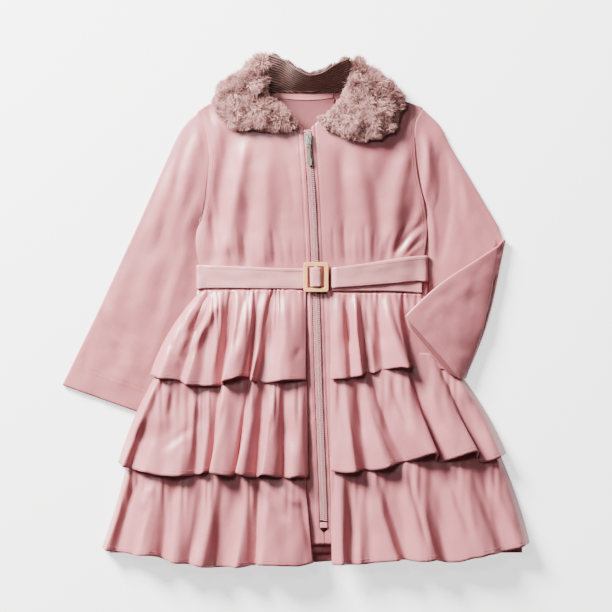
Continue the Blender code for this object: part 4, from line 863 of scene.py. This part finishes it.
def back_tier(row, seed):
    """Gathered tier under the back: even waves across, deeper to the hem, uneven by seeded noise."""
    number, left_top, right_top, left_hem, right_hem, hem_l, hem_m, hem_r, count = row
    bows = {1: (-6.0, 2.0), 2: (-3.0, 5.0), 3: (1.5, 1.0)}[number]
    a = np.linspace(0, 1, 10 * count + 1)[None, :]
    v = np.linspace(0, 1, 30)[:, None]
    x_top = left_top + (right_top - left_top) * a
    x_hem = left_hem + (right_hem - left_hem) * a
    x = x_top * (1 - v) + x_hem * v + (bows[0] * (1 - a) + bows[1] * a) * 4 * v * (1 - v)
    y_hem = np.interp(a, [0, 0.5, 1], [hem_l, hem_m, hem_r])
    y_top = (BACK_TOP_1[0] + (BACK_TOP_1[1] - BACK_TOP_1[0]) * a if number == 1
             else along(TIER_TOPS[number], x_top))
    y = y_top + (y_hem - y_top) * v
    flat = 1 - np.abs(2 * a - 1) ** 6
    calm = 1 - np.abs(2 * a - 1) ** 2
    drift = 0.12 * noise(a * 100, 0 * a, 23.0, seed)
    wave = 0.5 - 0.5 * np.cos(2 * math.pi * (count * a + drift * calm))
    under = 0.0 if number == 1 else 1 - ease(0.19, 0.30, v)
    z = (0.5 * WALL + 0.0022 * wave * calm * ease(0.0, 0.7, v)
         + under * (0.0023 + 0.0020 * flat) + side_lift(x, y))
    z = z + np.clip(0.00022 * noise(x, y * 0.4, 8.0, seed + 1), -0.0003, 0.0004) * calm
    cloth(f"tier_{number}_back_cloth", place(x, y, z), COAT, [f"tier_{number}_back"])


def plain_back():
    """Back bodice and back skirt: flat sheets, a little uneven, under everything else."""
    across, down = np.linspace(0, 1, 70), np.linspace(0, 1, 70)
    top = along(BACK_TOP, across)
    y = top[None, :] + (WAIST - top)[None, :] * down[:, None]
    x = along(BODY_LEFT, y) + 1.0 + (along(BODY_RIGHT, y) - along(BODY_LEFT, y) - 2.0) * across
    z = back_height(x, y) + np.clip(0.00016 * noise(x, y, 24.0, 7), -0.0002, 0.0003)
    cloth("back_cloth", place(x, y, z), COAT, ["back_bodice"])
    y = np.linspace(277.5, 553, 80)
    left, right = along(SKIRT_LEFT, y), along(SKIRT_RIGHT, y)
    x = left[:, None] + (right - left)[:, None] * np.linspace(0, 1, 80)[None, :]
    y = np.repeat(y[:, None], 80, 1)
    z = back_height(x, y) + np.clip(0.00016 * noise(x, y, 24.0, 8), -0.0003, 0.0003)
    cloth("skirt_back_cloth", place(x, y, z), COAT, ["skirt_back"])


def sleeve_ring(count=56):
    """Positions round a flattened sleeve: share across its width and share of its depth."""
    turn = np.linspace(0, 2 * math.pi, count, endpoint=False)
    across = 0.5 - 0.5 * np.sign(np.cos(turn)) * np.abs(np.cos(turn)) ** 0.8
    depth = 0.5 + 0.5 * np.sign(np.sin(turn)) * np.abs(np.sin(turn)) ** 0.45
    return across, depth


def straight_sleeve():
    """Flattened tube along the sleeve's plan; its upper side bulges near the shoulder and creases."""
    across, depth = sleeve_ring()
    rings = []
    for t in np.linspace(0, 1, 120):
        x, y = plan_ring(LEFT_SLEEVE, t, across, BODY_LEFT, 0.3)
        tuck = ease(0.72, 1.0, across) * ease(0.02, 0.10, t) * (1 - ease(0.44, 0.58, t))
        x = x + 4.5 * tuck
        bulge = (0.0038 * (1 - ease(0, 0.5, t)) + 0.0010) * 4 * across * (1 - across)
        crease = 0.0009 * np.exp(-((across - 0.42) / 0.09) ** 2) * ease(0.45, 0.75, t)
        calm = depth**2 * ease(0.0, 0.06, t) * np.clip(6 * across * (1 - across), 0, 1)
        fold = creases(SLEEVE_CREASES, x, y) + 0.00014 * noise(x, y, 30.0, 11)
        rings.append(place(x, y, 0.5 * WALL + depth * (SLEEVE_DEPTH + bulge - crease) * (1 - 0.8 * tuck)
                           + np.clip(fold, -0.0016, 0.0045) * calm))
    rings.insert(0, rings[0] * np.array([1, 1, 0.4]) + np.array([4.0, -1.5, 0]) * CHART_UNIT)
    grid = np.array(rings)
    cloth("sleeve_left_cloth", grid, COAT, ["sleeve_left"],
          tube=True)
    normal = grid_normals(grid)
    top = slice(4, 27)
    for row in (-10, -12):
        sew(grid[row, top], normal[row, top])
    return grid


def folded_sleeve():
    """Flattened tube: upper arm on the floor, a half turn at the elbow, forearm back over the skirt."""
    across, depth = sleeve_ring()
    rings = []
    for t in np.linspace(0, 0.9, 70):
        x, y = plan_ring(RIGHT_UPPER, t, across, BODY_RIGHT, -0.3)
        tuck = ease(0.85, 1.0, across) * ease(0.0, 0.05, t) * (1 - ease(0.72, 0.9, t))
        x = x - 6.5 * tuck
        bulge = 0.0040 * (1 - ease(0, 0.6, t)) * 4 * across * (1 - across)
        calm = depth**2 * ease(0.0, 0.06, t) * np.clip(6 * across * (1 - across), 0, 1)
        calm = calm * (1 - ease(0.72, 0.9, t))
        fold = creases(SLEEVE_CREASES, x, y) + 0.00014 * noise(x, y, 30.0, 12)
        rings.append(place(x, y, 0.5 * WALL + depth * (SLEEVE_DEPTH + bulge) * (1 - 0.8 * tuck)
                           + np.clip(fold, -0.0016, 0.0045) * calm))
    fold_x, fold_y = plan_ring(RIGHT_UPPER, 1.0, across)
    run = np.array([467.0 - 506.5, -(377.0 - 240.5)])
    run = run / np.linalg.norm(run)
    outward = np.array([-run[1], run[0]])
    axis_height = 0.5 * WALL + SLEEVE_DEPTH + ELBOW_RADIUS
    radius = ELBOW_RADIUS + (1 - depth) * SLEEVE_DEPTH
    swell = np.zeros((len(across), 3))
    swell[:, :2] = outward * (0.0078 * np.sin(math.pi * np.clip(across, 0, 1)) ** 1.3
                              * (0.35 + 0.65 * across))[:, None]
    for i, t in enumerate(np.linspace(0, 0.9, 70)):
        rings[i] = rings[i] + swell * ease(0.45, 0.95, t)
    for turn in np.radians(np.linspace(-90, 90, 13)):
        ring = place(fold_x, fold_y, axis_height + radius * math.sin(turn))
        reach = radius * math.cos(turn) - 0.0036 + 0.0009 * noise(fold_x, fold_y, 17.0, 13) * (
            math.cos(turn) - 1)
        rings.append(ring + swell + np.stack([outward[0] * reach, outward[1] * reach, 0 * reach], 1))
    for t in np.linspace(0.1, 1.0, 56):
        x, y = plan_ring(RIGHT_FOREARM, t, across)
        away = fold_distance(x, y)
        rise = 6.0 + 14.0 * (1 - across)
        lift = 0.0090 * (1 - np.exp(-away / rise)) + 0.00014 * away
        calm = (1 - depth) ** 2 * np.clip(6 * across * (1 - across), 0, 1)
        fold = creases(FOREARM_CREASES, x, y) + 0.00025 * noise(x, y, 18.0, 14)
        under = depth * ease(0.84, 1.0, t) * 6.2 * np.clip(8 * across * (1 - across), 0, 1)
        rings.append(place(x - 0.75 * under, y + 0.65 * under, axis_height + radius + lift
                           + np.clip(fold, -0.0012, 0.002) * calm) + swell * (1 - ease(0.05, 0.5, t)))
    rings.insert(0, rings[0] * np.array([1, 1, 0.4]) + np.array([-4.0, -1.5, 0]) * CHART_UNIT)
    grid = np.array(rings)
    cloth("sleeve_right_cloth", grid, COAT, ["sleeve_right"],
          tube=True)
    # Painted shade: a dark sheet over the lower layer inside the cuff opening, where the sleeve's inside lies in
    # shade.
    lower = grid[-12:-1][:, depth > 0.6] + np.array([0, 0, 0.0011])
    cloth("cuff_painted_shade_cloth", lower, PAINTED_SHADE_PINK, [],
          wall=0.0004)
    normal = grid_normals(grid)
    low = slice(33, 54)
    for row in (-8, -10):
        sew(grid[row, low], normal[row, low])
    return grid


def strap(name, table, node_name, rest_of, look, length_step):
    """Belt strap: the named sections, then smooth rows between them, a raised edge by each stitching."""
    share = np.linspace(0, 1, 17)
    rows = []
    for section in table:
        upper, lower = section[1], section[2]
        y = upper + (lower - upper) * share
        x = np.full_like(y, section[0])
        rows.append(place(x, y, rest_of(x, y, section)))
    rows = np.array(rows)
    for _ in range(length_step):
        rows = np.stack([between(rows[:, :, i].T).T for i in range(3)], -1)
    normal = grid_normals(rows)
    welt = 0.00010 * (np.exp(-((share - 0.07) / 0.04) ** 2) + np.exp(-((share - 0.93) / 0.04) ** 2))
    dip = -0.00008 * (np.exp(-((share - 0.15) / 0.03) ** 2) + np.exp(-((share - 0.85) / 0.03) ** 2))
    uneven = 0.00022 * noise(rows[..., 0] / CHART_UNIT, rows[..., 1] / CHART_UNIT, 17.0, 21)
    rows = rows + normal * ((welt + dip)[None, :] + uneven)[..., None]
    cloth(name, rows, look, [node_name], wall=0.0011)
    return rows, normal


def make_belt():
    def on_run(x, y, section):
        if section[3] == "floor":
            return np.full_like(y, section[4] * 0.001)
        z = belt_rest(x, y) + section[4] * 0.001
        return z + BELT_WALL + SEAM_GAP + 0.0003 if section[3] == "above" else z

    grid, normal = strap("belt_cloth_run", BELT_RUN, "belt", on_run, BELT,
                         2)
    ends = [(30, 58), (len(grid) - 28, len(grid) - 3)]
    for first, last in ends:
        for column in (2, 14):
            sew(grid[first:last, column], normal[first:last, column], 0.0007)
    strap("belt_cloth_tail", BELT_TAIL, "belt_tail", lambda x, y, s: belt_rest(x, y), BELT,
          2)


def strip(name, offsets, y, look, nodes, height_of, wall):
    """Narrow sheet that follows the zip at fixed offsets from its line."""
    y = y[:, None]
    x = along(ZIP_LINE, y) + np.array(offsets)[None, :]
    y = np.repeat(y, len(offsets), 1)
    grid = place(x, y, height_of(x, y))
    cloth(name, grid, look, nodes, wall=wall)
    return grid


def zip_parts():
    """Tapes under the plackets, and two interlocked rows of teeth along the zip line."""
    y = np.linspace(ZIP_TOP, 521.0, 130)
    for name, node_name, sign in (("zip_tape_left_cloth", "zip_tape_left", -1),
                                  ("zip_tape_right_cloth", "zip_tape_right", 1)):
        strip(name, sign * np.linspace(0.6, 12.0, 9), y, TAPE, [node_name],
              lambda a, b: front_height(a, b) - 0.0009 - 0.0010 * ease(4.0, 8.0, abs(a - along(ZIP_LINE, b))),
              0.0006)
    fine = np.linspace(ZIP_TOP, 521.0, 900)
    groups = []
    for sign, shift in ((-1, 0.0), (1, 0.00115)):
        x = along(ZIP_LINE, fine)
        line = place(x, fine, chain_height(fine) + 0.0009)
        run = np.concatenate([[0], np.cumsum(np.linalg.norm(np.diff(line, axis=0), axis=1))])
        at = np.arange(0.001 + shift, run[-1] - 0.001, 0.0023)
        spots = np.stack([np.interp(at, run, line[:, i]) for i in range(3)], 1)
        forward = np.stack([np.interp(at + 1e-3, run, line[:, i]) for i in range(3)], 1) - spots
        forward = forward / np.linalg.norm(forward, axis=1, keepdims=True)
        side = sign * np.cross(forward, np.array([0.0, 0.0, 1.0]))
        side = side / np.linalg.norm(side, axis=1, keepdims=True)
        up = np.cross(side, forward)
        centre = spots + side * 0.00155
        frames = np.stack([side, forward, up], 1) * np.array([0.0047, 0.00150, 0.0024])[None, :, None]
        groups.append(centre[:, None, :] + np.einsum("kj,nji->nki", ROD, frames))
    rods("zip_teeth", groups, TEETH, ["zip_chain"])
    y = np.linspace(522.0, 527.6, 7)
    strip("zip_stop_cloth", np.linspace(-3.7, 3.7, 9), y, TAPE, ["zip_stop"],
          lambda a, b: chain_height(b) + 0.0002, 0.0016)


def neck_parts():
    """Ribbed collar lining, a dark sheet of painted shade inside the neck, and the tape over the neck seam with its
    two stitch lines.
    """
    share, down = np.linspace(0, 1, 60)[None, :], np.linspace(0, 1, 30)[:, None]
    x_top = 268.5 + (350.0 - 268.5) * share
    x_low = 266.0 + (348.0 - 266.0) * share
    y_top = along(COLLAR_TOP, x_top) + 0.6
    y = y_top + (NECK_SEAM + 2.2 - y_top) * down
    x = x_top + (x_low - x_top) * down
    z = collar_back_height(x, y) + np.clip(0.0002 * noise(x, y, 14.0, 31), -0.0003, 0.0004)
    z = z - 0.0008 * ease(0.9, 1.0, down)
    cloth("collar_lining_knit", place(x, y, z), RIB, ["collar_lining"])
    # Painted shade: a dark sheet over the back inside the neck opening, where the collar shades it.
    y = np.linspace(98.6, 131.0, 24)[:, None]
    wide = 24.0 + 6.0 * (131.0 - y) / 32.4
    x = along(ZIP_LINE, y) + wide * np.linspace(-1.0, 1.0, 40)[None, :]
    y = y + 0 * x
    cloth("neck_painted_shade_cloth", place(x, y, back_height(x, y) + 0.5 * WALL + 0.0003), PAINTED_SHADE_PINK,
          [], wall=0.0004)
    x = np.linspace(275.5, 333.5, 60)[None, :]
    centre = along([(274, 94.4), (300, 97.2), (318, 96.8), (335, 94.6)], x)
    y = centre + np.linspace(-2.6, 2.6, 9)[:, None]
    x = np.repeat(x, 9, 0)
    grid = place(x, y, back_height(x, y) + 0.5 * WALL + SEAM_GAP + 0.0004)
    cloth("neck_tape_cloth", grid, TAPE, ["neck_tape"],
          wall=0.0006)
    normal = grid_normals(grid)
    for row in (1, 7):
        sew(grid[row], normal[row], 0.0004)


def fur_point(table, s, r, share):
    """A point of a fur length: s from its zip end to the back, r from roll line to free edge, share of
    the pile's depth."""
    stations = s * (len(table) - 1)
    rows = [(i, row) for i, row in enumerate(table)]
    in_x, in_y, out_x, out_y, depth = (along([(i, row[c]) for i, row in rows], stations)
                                       for c in range(5))
    x, y = in_x + (out_x - in_x) * r, in_y + (out_y - in_y) * r
    past = ease(3.0, 9.0, shoulder_line(x) - y)
    low = (front_height(x, y) + 0.5 * WALL + 0.0015) * (1 - past) + 0.0006 * past
    dome = np.sin(math.pi * np.clip(r, 0, 1)) ** 0.5 * (1 - 0.25 * r)
    ends = np.sqrt(np.clip(stations / 2.0, 0.0, 1.0))
    thick = 0.002 + (depth * 0.001 - 0.002) * dome * (0.35 + 0.65 * ends)
    return place(x, y, low + thick * share)


def fur_plan(table, s, r):
    """Column and row of a point of a fur length, in chart units."""
    stations = s * (len(table) - 1)
    in_x, in_y, out_x, out_y = (along([(i, row[c]) for i, row in enumerate(table)], stations)
                                for c in range(4))
    return in_x + (out_x - in_x) * r, in_y + (out_y - in_y) * r


def closed_ring_piece(name, grid, look, nodes):
    """A closed form from rings of points, its ends closed on their own middle points."""
    rows, columns = grid.shape[:2]
    faces, _, _ = grid_faces(rows, columns, tube=True)
    points = np.concatenate([grid.reshape(-1, 3), grid[0].mean(0)[None], grid[-1].mean(0)[None]])
    ring = np.arange(columns)
    cap_a = np.stack([ring, np.full(columns, rows * columns), np.roll(ring, -1)], 1)
    last = (rows - 1) * columns
    cap_b = np.stack([last + np.roll(ring, -1), np.full(columns, rows * columns + 1), last + ring], 1)
    split = np.concatenate([faces[:, [0, 1, 2]], faces[:, [0, 2, 3]], cap_a, cap_b])
    # Painted shade: the undercoat takes the dark root colour of the pile.
    values = {"tip": np.full(len(points), 0.05), "tint": np.zeros(len(points))}
    return add_mesh(name, points, split[:, ::-1], look, nodes=nodes, values=values)


def pile(name, roots, normal, comb, length, seed, chart, width=0.00085):
    """Tapered curved strands as one mesh.  A strand starts at its root along the surface normal, bends
    towards its comb direction as the square of the way along, waves sideways by a seeded sine, and
    its outer half leans to the nearest clump centre.  Seven points and five triangles each."""
    rng = np.random.default_rng(seed)
    count = len(roots)
    centres = rng.choice(count, max(8, int(count * 0.014)), replace=False)
    nearest = np.zeros(count, int)
    best = np.full(count, 1e9)
    jitter = rng.normal(0, 0.0012, (count, 3))
    for i, c in enumerate(centres):
        gap = np.linalg.norm(roots + jitter - roots[c], axis=1)
        closer = gap < best
        nearest[closer], best[closer] = i, gap[closer]
    px, py = roots[:, 0] / CHART_UNIT, roots[:, 1] / CHART_UNIT
    swirl = np.stack([noise(px, py, 20.0, seed + 5), noise(px, py, 20.0, seed + 6),
                      0.3 * noise(px, py, 9.0, seed + 7)], 1) * 0.50
    wild = rng.normal(0, 1, (count, 3))
    wild[:, 2] *= 0.5
    lock = rng.normal(0, 0.26, (len(centres), 3)) * np.array([1.0, 1.0, 0.4])
    direction = comb + swirl + 0.30 * wild + lock[nearest]
    direction = direction / np.linalg.norm(direction, axis=1, keepdims=True)
    span = length * rng.uniform(0.65, 1.15, count)[:, None]
    side = np.cross(normal, direction)
    side = side / np.maximum(np.linalg.norm(side, axis=1, keepdims=True), 1e-6)
    phase = rng.uniform(0, 2 * math.pi, count)[:, None]
    pull = roots[centres][nearest] - roots
    strand = []
    for t in (0.0, 0.36, 0.70, 1.0):
        bend = normal * (0.72 * t - 0.38 * t * t) + direction * (0.42 * t + 0.62 * t * t)
        wave = side * 0.16 * np.sin(phase + 5.5 * t) * t
        strand.append(roots + span * (bend + wave) + pull * (0.22 * t**1.3))
    points, tips = [], []
    thick = width * rng.uniform(0.7, 1.2, count)[:, None]
    for k, (t, share) in enumerate(zip((0.0, 0.36, 0.70), (1.0, 0.85, 0.55))):
        across = side * thick * share * 0.5
        points += [strand[k] - across, strand[k] + across]
        tips += [np.full(count, t**1.5), np.full(count, t**1.5)]
    points.append(strand[3])
    tips.append(np.ones(count))
    points = np.stack(points, 1)
    points[..., 2] = np.maximum(points[..., 2], 0.0002)
    tint = 0.80 * rng.random(count) ** 2.2 + 0.20 * rng.random(len(centres))[nearest]
    one = np.array([(0, 1, 3), (0, 3, 2), (2, 3, 5), (2, 5, 4), (4, 5, 6)])
    faces = one[None] + 7 * np.arange(count)[:, None, None]
    # Painted shade: strands darkened in tip and tint at listed chart spots in the collar's crevices.
    shade = np.ones(count)
    for x0, y0, wide, tall in ((263, 97, 13, 8), (274, 105, 6, 4), (393, 99, 4, 8), (366, 84, 8, 7)):
        shade = shade * (1 - 0.62 * np.exp(-((chart[0] - x0) / wide) ** 2 - ((chart[1] - y0) / tall) ** 2))
    values = {"tip": np.stack(tips, 1) * shade[:, None],
              "tint": np.repeat((tint * shade)[:, None], 7, 1)}
    return add_mesh(name, points, faces.reshape(-1, 3), FUR, values=values)


def fur_length(name, table, node_name, seed, count=17000):
    """Undercoat inside the fur's solid, and the strands that stand on it out to the solid's surface."""
    s = np.linspace(0.02, 0.985, 70)[:, None]
    r = np.linspace(0.09, 0.90, 26)[None, :]
    upper, lower = fur_point(table, s, r, 0.66), fur_point(table, s, r, 0.06)
    closed_ring_piece(name + "_under", np.concatenate([upper, lower[:, ::-1]], 1), FUR,
                      [node_name])
    rng = np.random.default_rng(seed)
    s, r = rng.random(count * 2), rng.random(count * 2)
    s = 0.02 + 0.965 * s
    rr = 0.07 + 0.85 * r
    step = 1e-3
    here = fur_point(table, s, rr, 0.64)
    ds = (fur_point(table, s + step, rr, 0.64) - here) / step
    dr = (fur_point(table, s, rr + step, 0.64) - here) / step
    normal = np.cross(ds, dr)
    size = np.linalg.norm(normal, axis=1)
    keep = rng.random(count * 2) < np.clip(size / np.percentile(size, 75), 0.12, 1) * 0.72
    index = np.flatnonzero(keep)[:count]
    here, normal, dr, rr = here[index], normal[index], dr[index], rr[index]
    normal = normal / np.linalg.norm(normal, axis=1, keepdims=True)
    normal = np.where(normal[:, 2:] < 0, -normal, normal)
    out = dr / np.linalg.norm(dr, axis=1, keepdims=True)
    edge = (np.clip((rr - 0.5) / 0.45, -1, 1) ** 3)[:, None]
    comb = out * (0.30 + 0.55 * edge) - np.array([0, 0, 0.35]) * np.abs(edge)
    depth = np.linalg.norm(fur_point(table, s[index], rr, 1.0) - here, axis=1)
    length = np.clip(depth * 1.15, 0.0048, 0.0105)[:, None]
    return pile(name, here, normal, comb, length, seed, fur_plan(table, s[index], rr))


def fur_behind(count=6500):
    """Fur on the outer face of the standing collar: a low undercoat and strands round its rim."""
    share = np.linspace(0, 1, 50)[:, None]
    down = np.linspace(0, 1, 16)[None, :]
    x_top = 273.0 + 74.0 * share
    x_low = 273.0 + 63.5 * share
    y_top = along(COLLAR_TOP, x_top) + 1.6
    y = y_top + (NECK_SEAM - y_top) * down
    x = x_top + (x_low - x_top) * down
    upper = place(x, y, collar_back_height(x, y) - 0.0026)
    lower = place(x, y, 0 * x + 0.0012)
    closed_ring_piece("collar_back_under", np.concatenate([upper, lower[:, ::-1]], 1), FUR,
                      ["fur_back"])
    rng = np.random.default_rng(77)
    s, up = rng.random(count), rng.random(count)
    x = 273.0 + 74.0 * s
    y = along(COLLAR_TOP, x) + 1.5
    top = collar_back_height(x, y) - 0.0032
    roots = place(x, y, 0.0012 + (top - 0.0012) * np.sqrt(up))
    normal = np.stack([0 * s, np.ones(count), 0.25 + 0.3 * up], 1)
    normal = normal / np.linalg.norm(normal, axis=1, keepdims=True)
    comb = np.stack([0.2 * (s - 0.5), 0.25 + 0 * s, 0.5 * up], 1)
    pile("collar_back_fur", roots, normal, comb, np.full((count, 1), 0.0050), 78, (x, y))


RIB = rib_look()

left_grid = bodice_front("bodice_left_cloth", True, "front_left")
right_grid = bodice_front("bodice_right_cloth", False, "front_right")
skirt_panel("skirt_front_left_cloth", True, "skirt_front_left")
skirt_panel("skirt_front_right_cloth", False, "skirt_front_right")
plain_back()
for back_row in BACK_TIERS:
    back_tier(back_row, 40 + back_row[0])
tier("tier_1_left_cloth", 1, TIER_1_LEFT, 51)
tier("tier_1_right_cloth", 1, TIER_1_RIGHT, 52)
tier("tier_2_left_cloth", 2, TIER_2_LEFT, 53)
tier("tier_2_right_cloth", 2, TIER_2_RIGHT, 54)
tier("tier_3_left_cloth", 3, TIER_3_LEFT, 55)
tier("tier_3_right_cloth", 3, TIER_3_RIGHT, 56)
straight_sleeve()
folded_sleeve()
make_belt()
zip_parts()
neck_parts()
fur_behind()
fur_length("fur_left_pile", FUR_LEFT, "fur_left", 61)
fur_length("fur_right_pile", FUR_RIGHT, "fur_right", 62)
rods("stitching", stitches, THREAD)

for node_name, look, slot_name in (("buckle", BUCKLE, "buckle_gloss"), ("zip_slider", SILVER, "silver"),
                                   ("zip_pull", SILVER, "silver")):
    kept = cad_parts[node_name]
    kept.data.materials.clear()
    kept.data.materials.append(look)

# Pale floor under the coat, soft light from the upper left, and a camera straight above.
half = 4.0
floor_mesh = bpy.data.meshes.new("floor")
floor_mesh.from_pydata([(-half, -half, -0.0003), (half, -half, -0.0003), (half, half, -0.0003),
                        (-half, half, -0.0003)], [], [(0, 1, 2, 3)])
floor = bpy.data.objects.new("floor", floor_mesh)
floor_mesh.materials.append(FLOOR)
bpy.context.scene.collection.objects.link(floor)


def area_light(name, where, aim, size, power, colour=(1.0, 1.0, 1.0)):
    light = bpy.data.lights.new(name, "AREA")
    light.shape = "DISK"
    light.size = size
    light.energy = power
    light.color = colour
    lamp = bpy.data.objects.new(name, light)
    bpy.context.scene.collection.objects.link(lamp)
    lamp.location = where
    to = np.array(aim, float) - np.array(where, float)
    tilt = math.atan2(math.hypot(to[0], to[1]), -to[2])
    turn = math.atan2(-to[0], to[1]) if math.hypot(to[0], to[1]) > 1e-9 else 0.0
    lamp.rotation_euler = (tilt, 0.0, turn)
    return lamp


area_light("window_side", (-1.72, 1.82, 1.14), (0.0, 0.0, 0.0), 1.05, 640.0, (1.0, 0.99, 0.98))
area_light("high_left", (-0.75, 0.95, 2.3), (0.0, 0.0, 0.0), 0.7, 22.0)
world = bpy.data.worlds.new("studio")
world.use_nodes = True
world.node_tree.nodes["Background"].inputs["Color"].default_value = (1.0, 0.99, 0.98, 1.0)
world.node_tree.nodes["Background"].inputs["Strength"].default_value = 0.06
bpy.context.scene.world = world

camera_data = bpy.data.cameras.new("above")
camera_data.sensor_width = 36.0
camera_data.lens = 153.45
camera = bpy.data.objects.new("above", camera_data)
camera.location = (0.01196, 0.00587, 3.01)
bpy.context.scene.collection.objects.link(camera)
bpy.context.scene.camera = camera
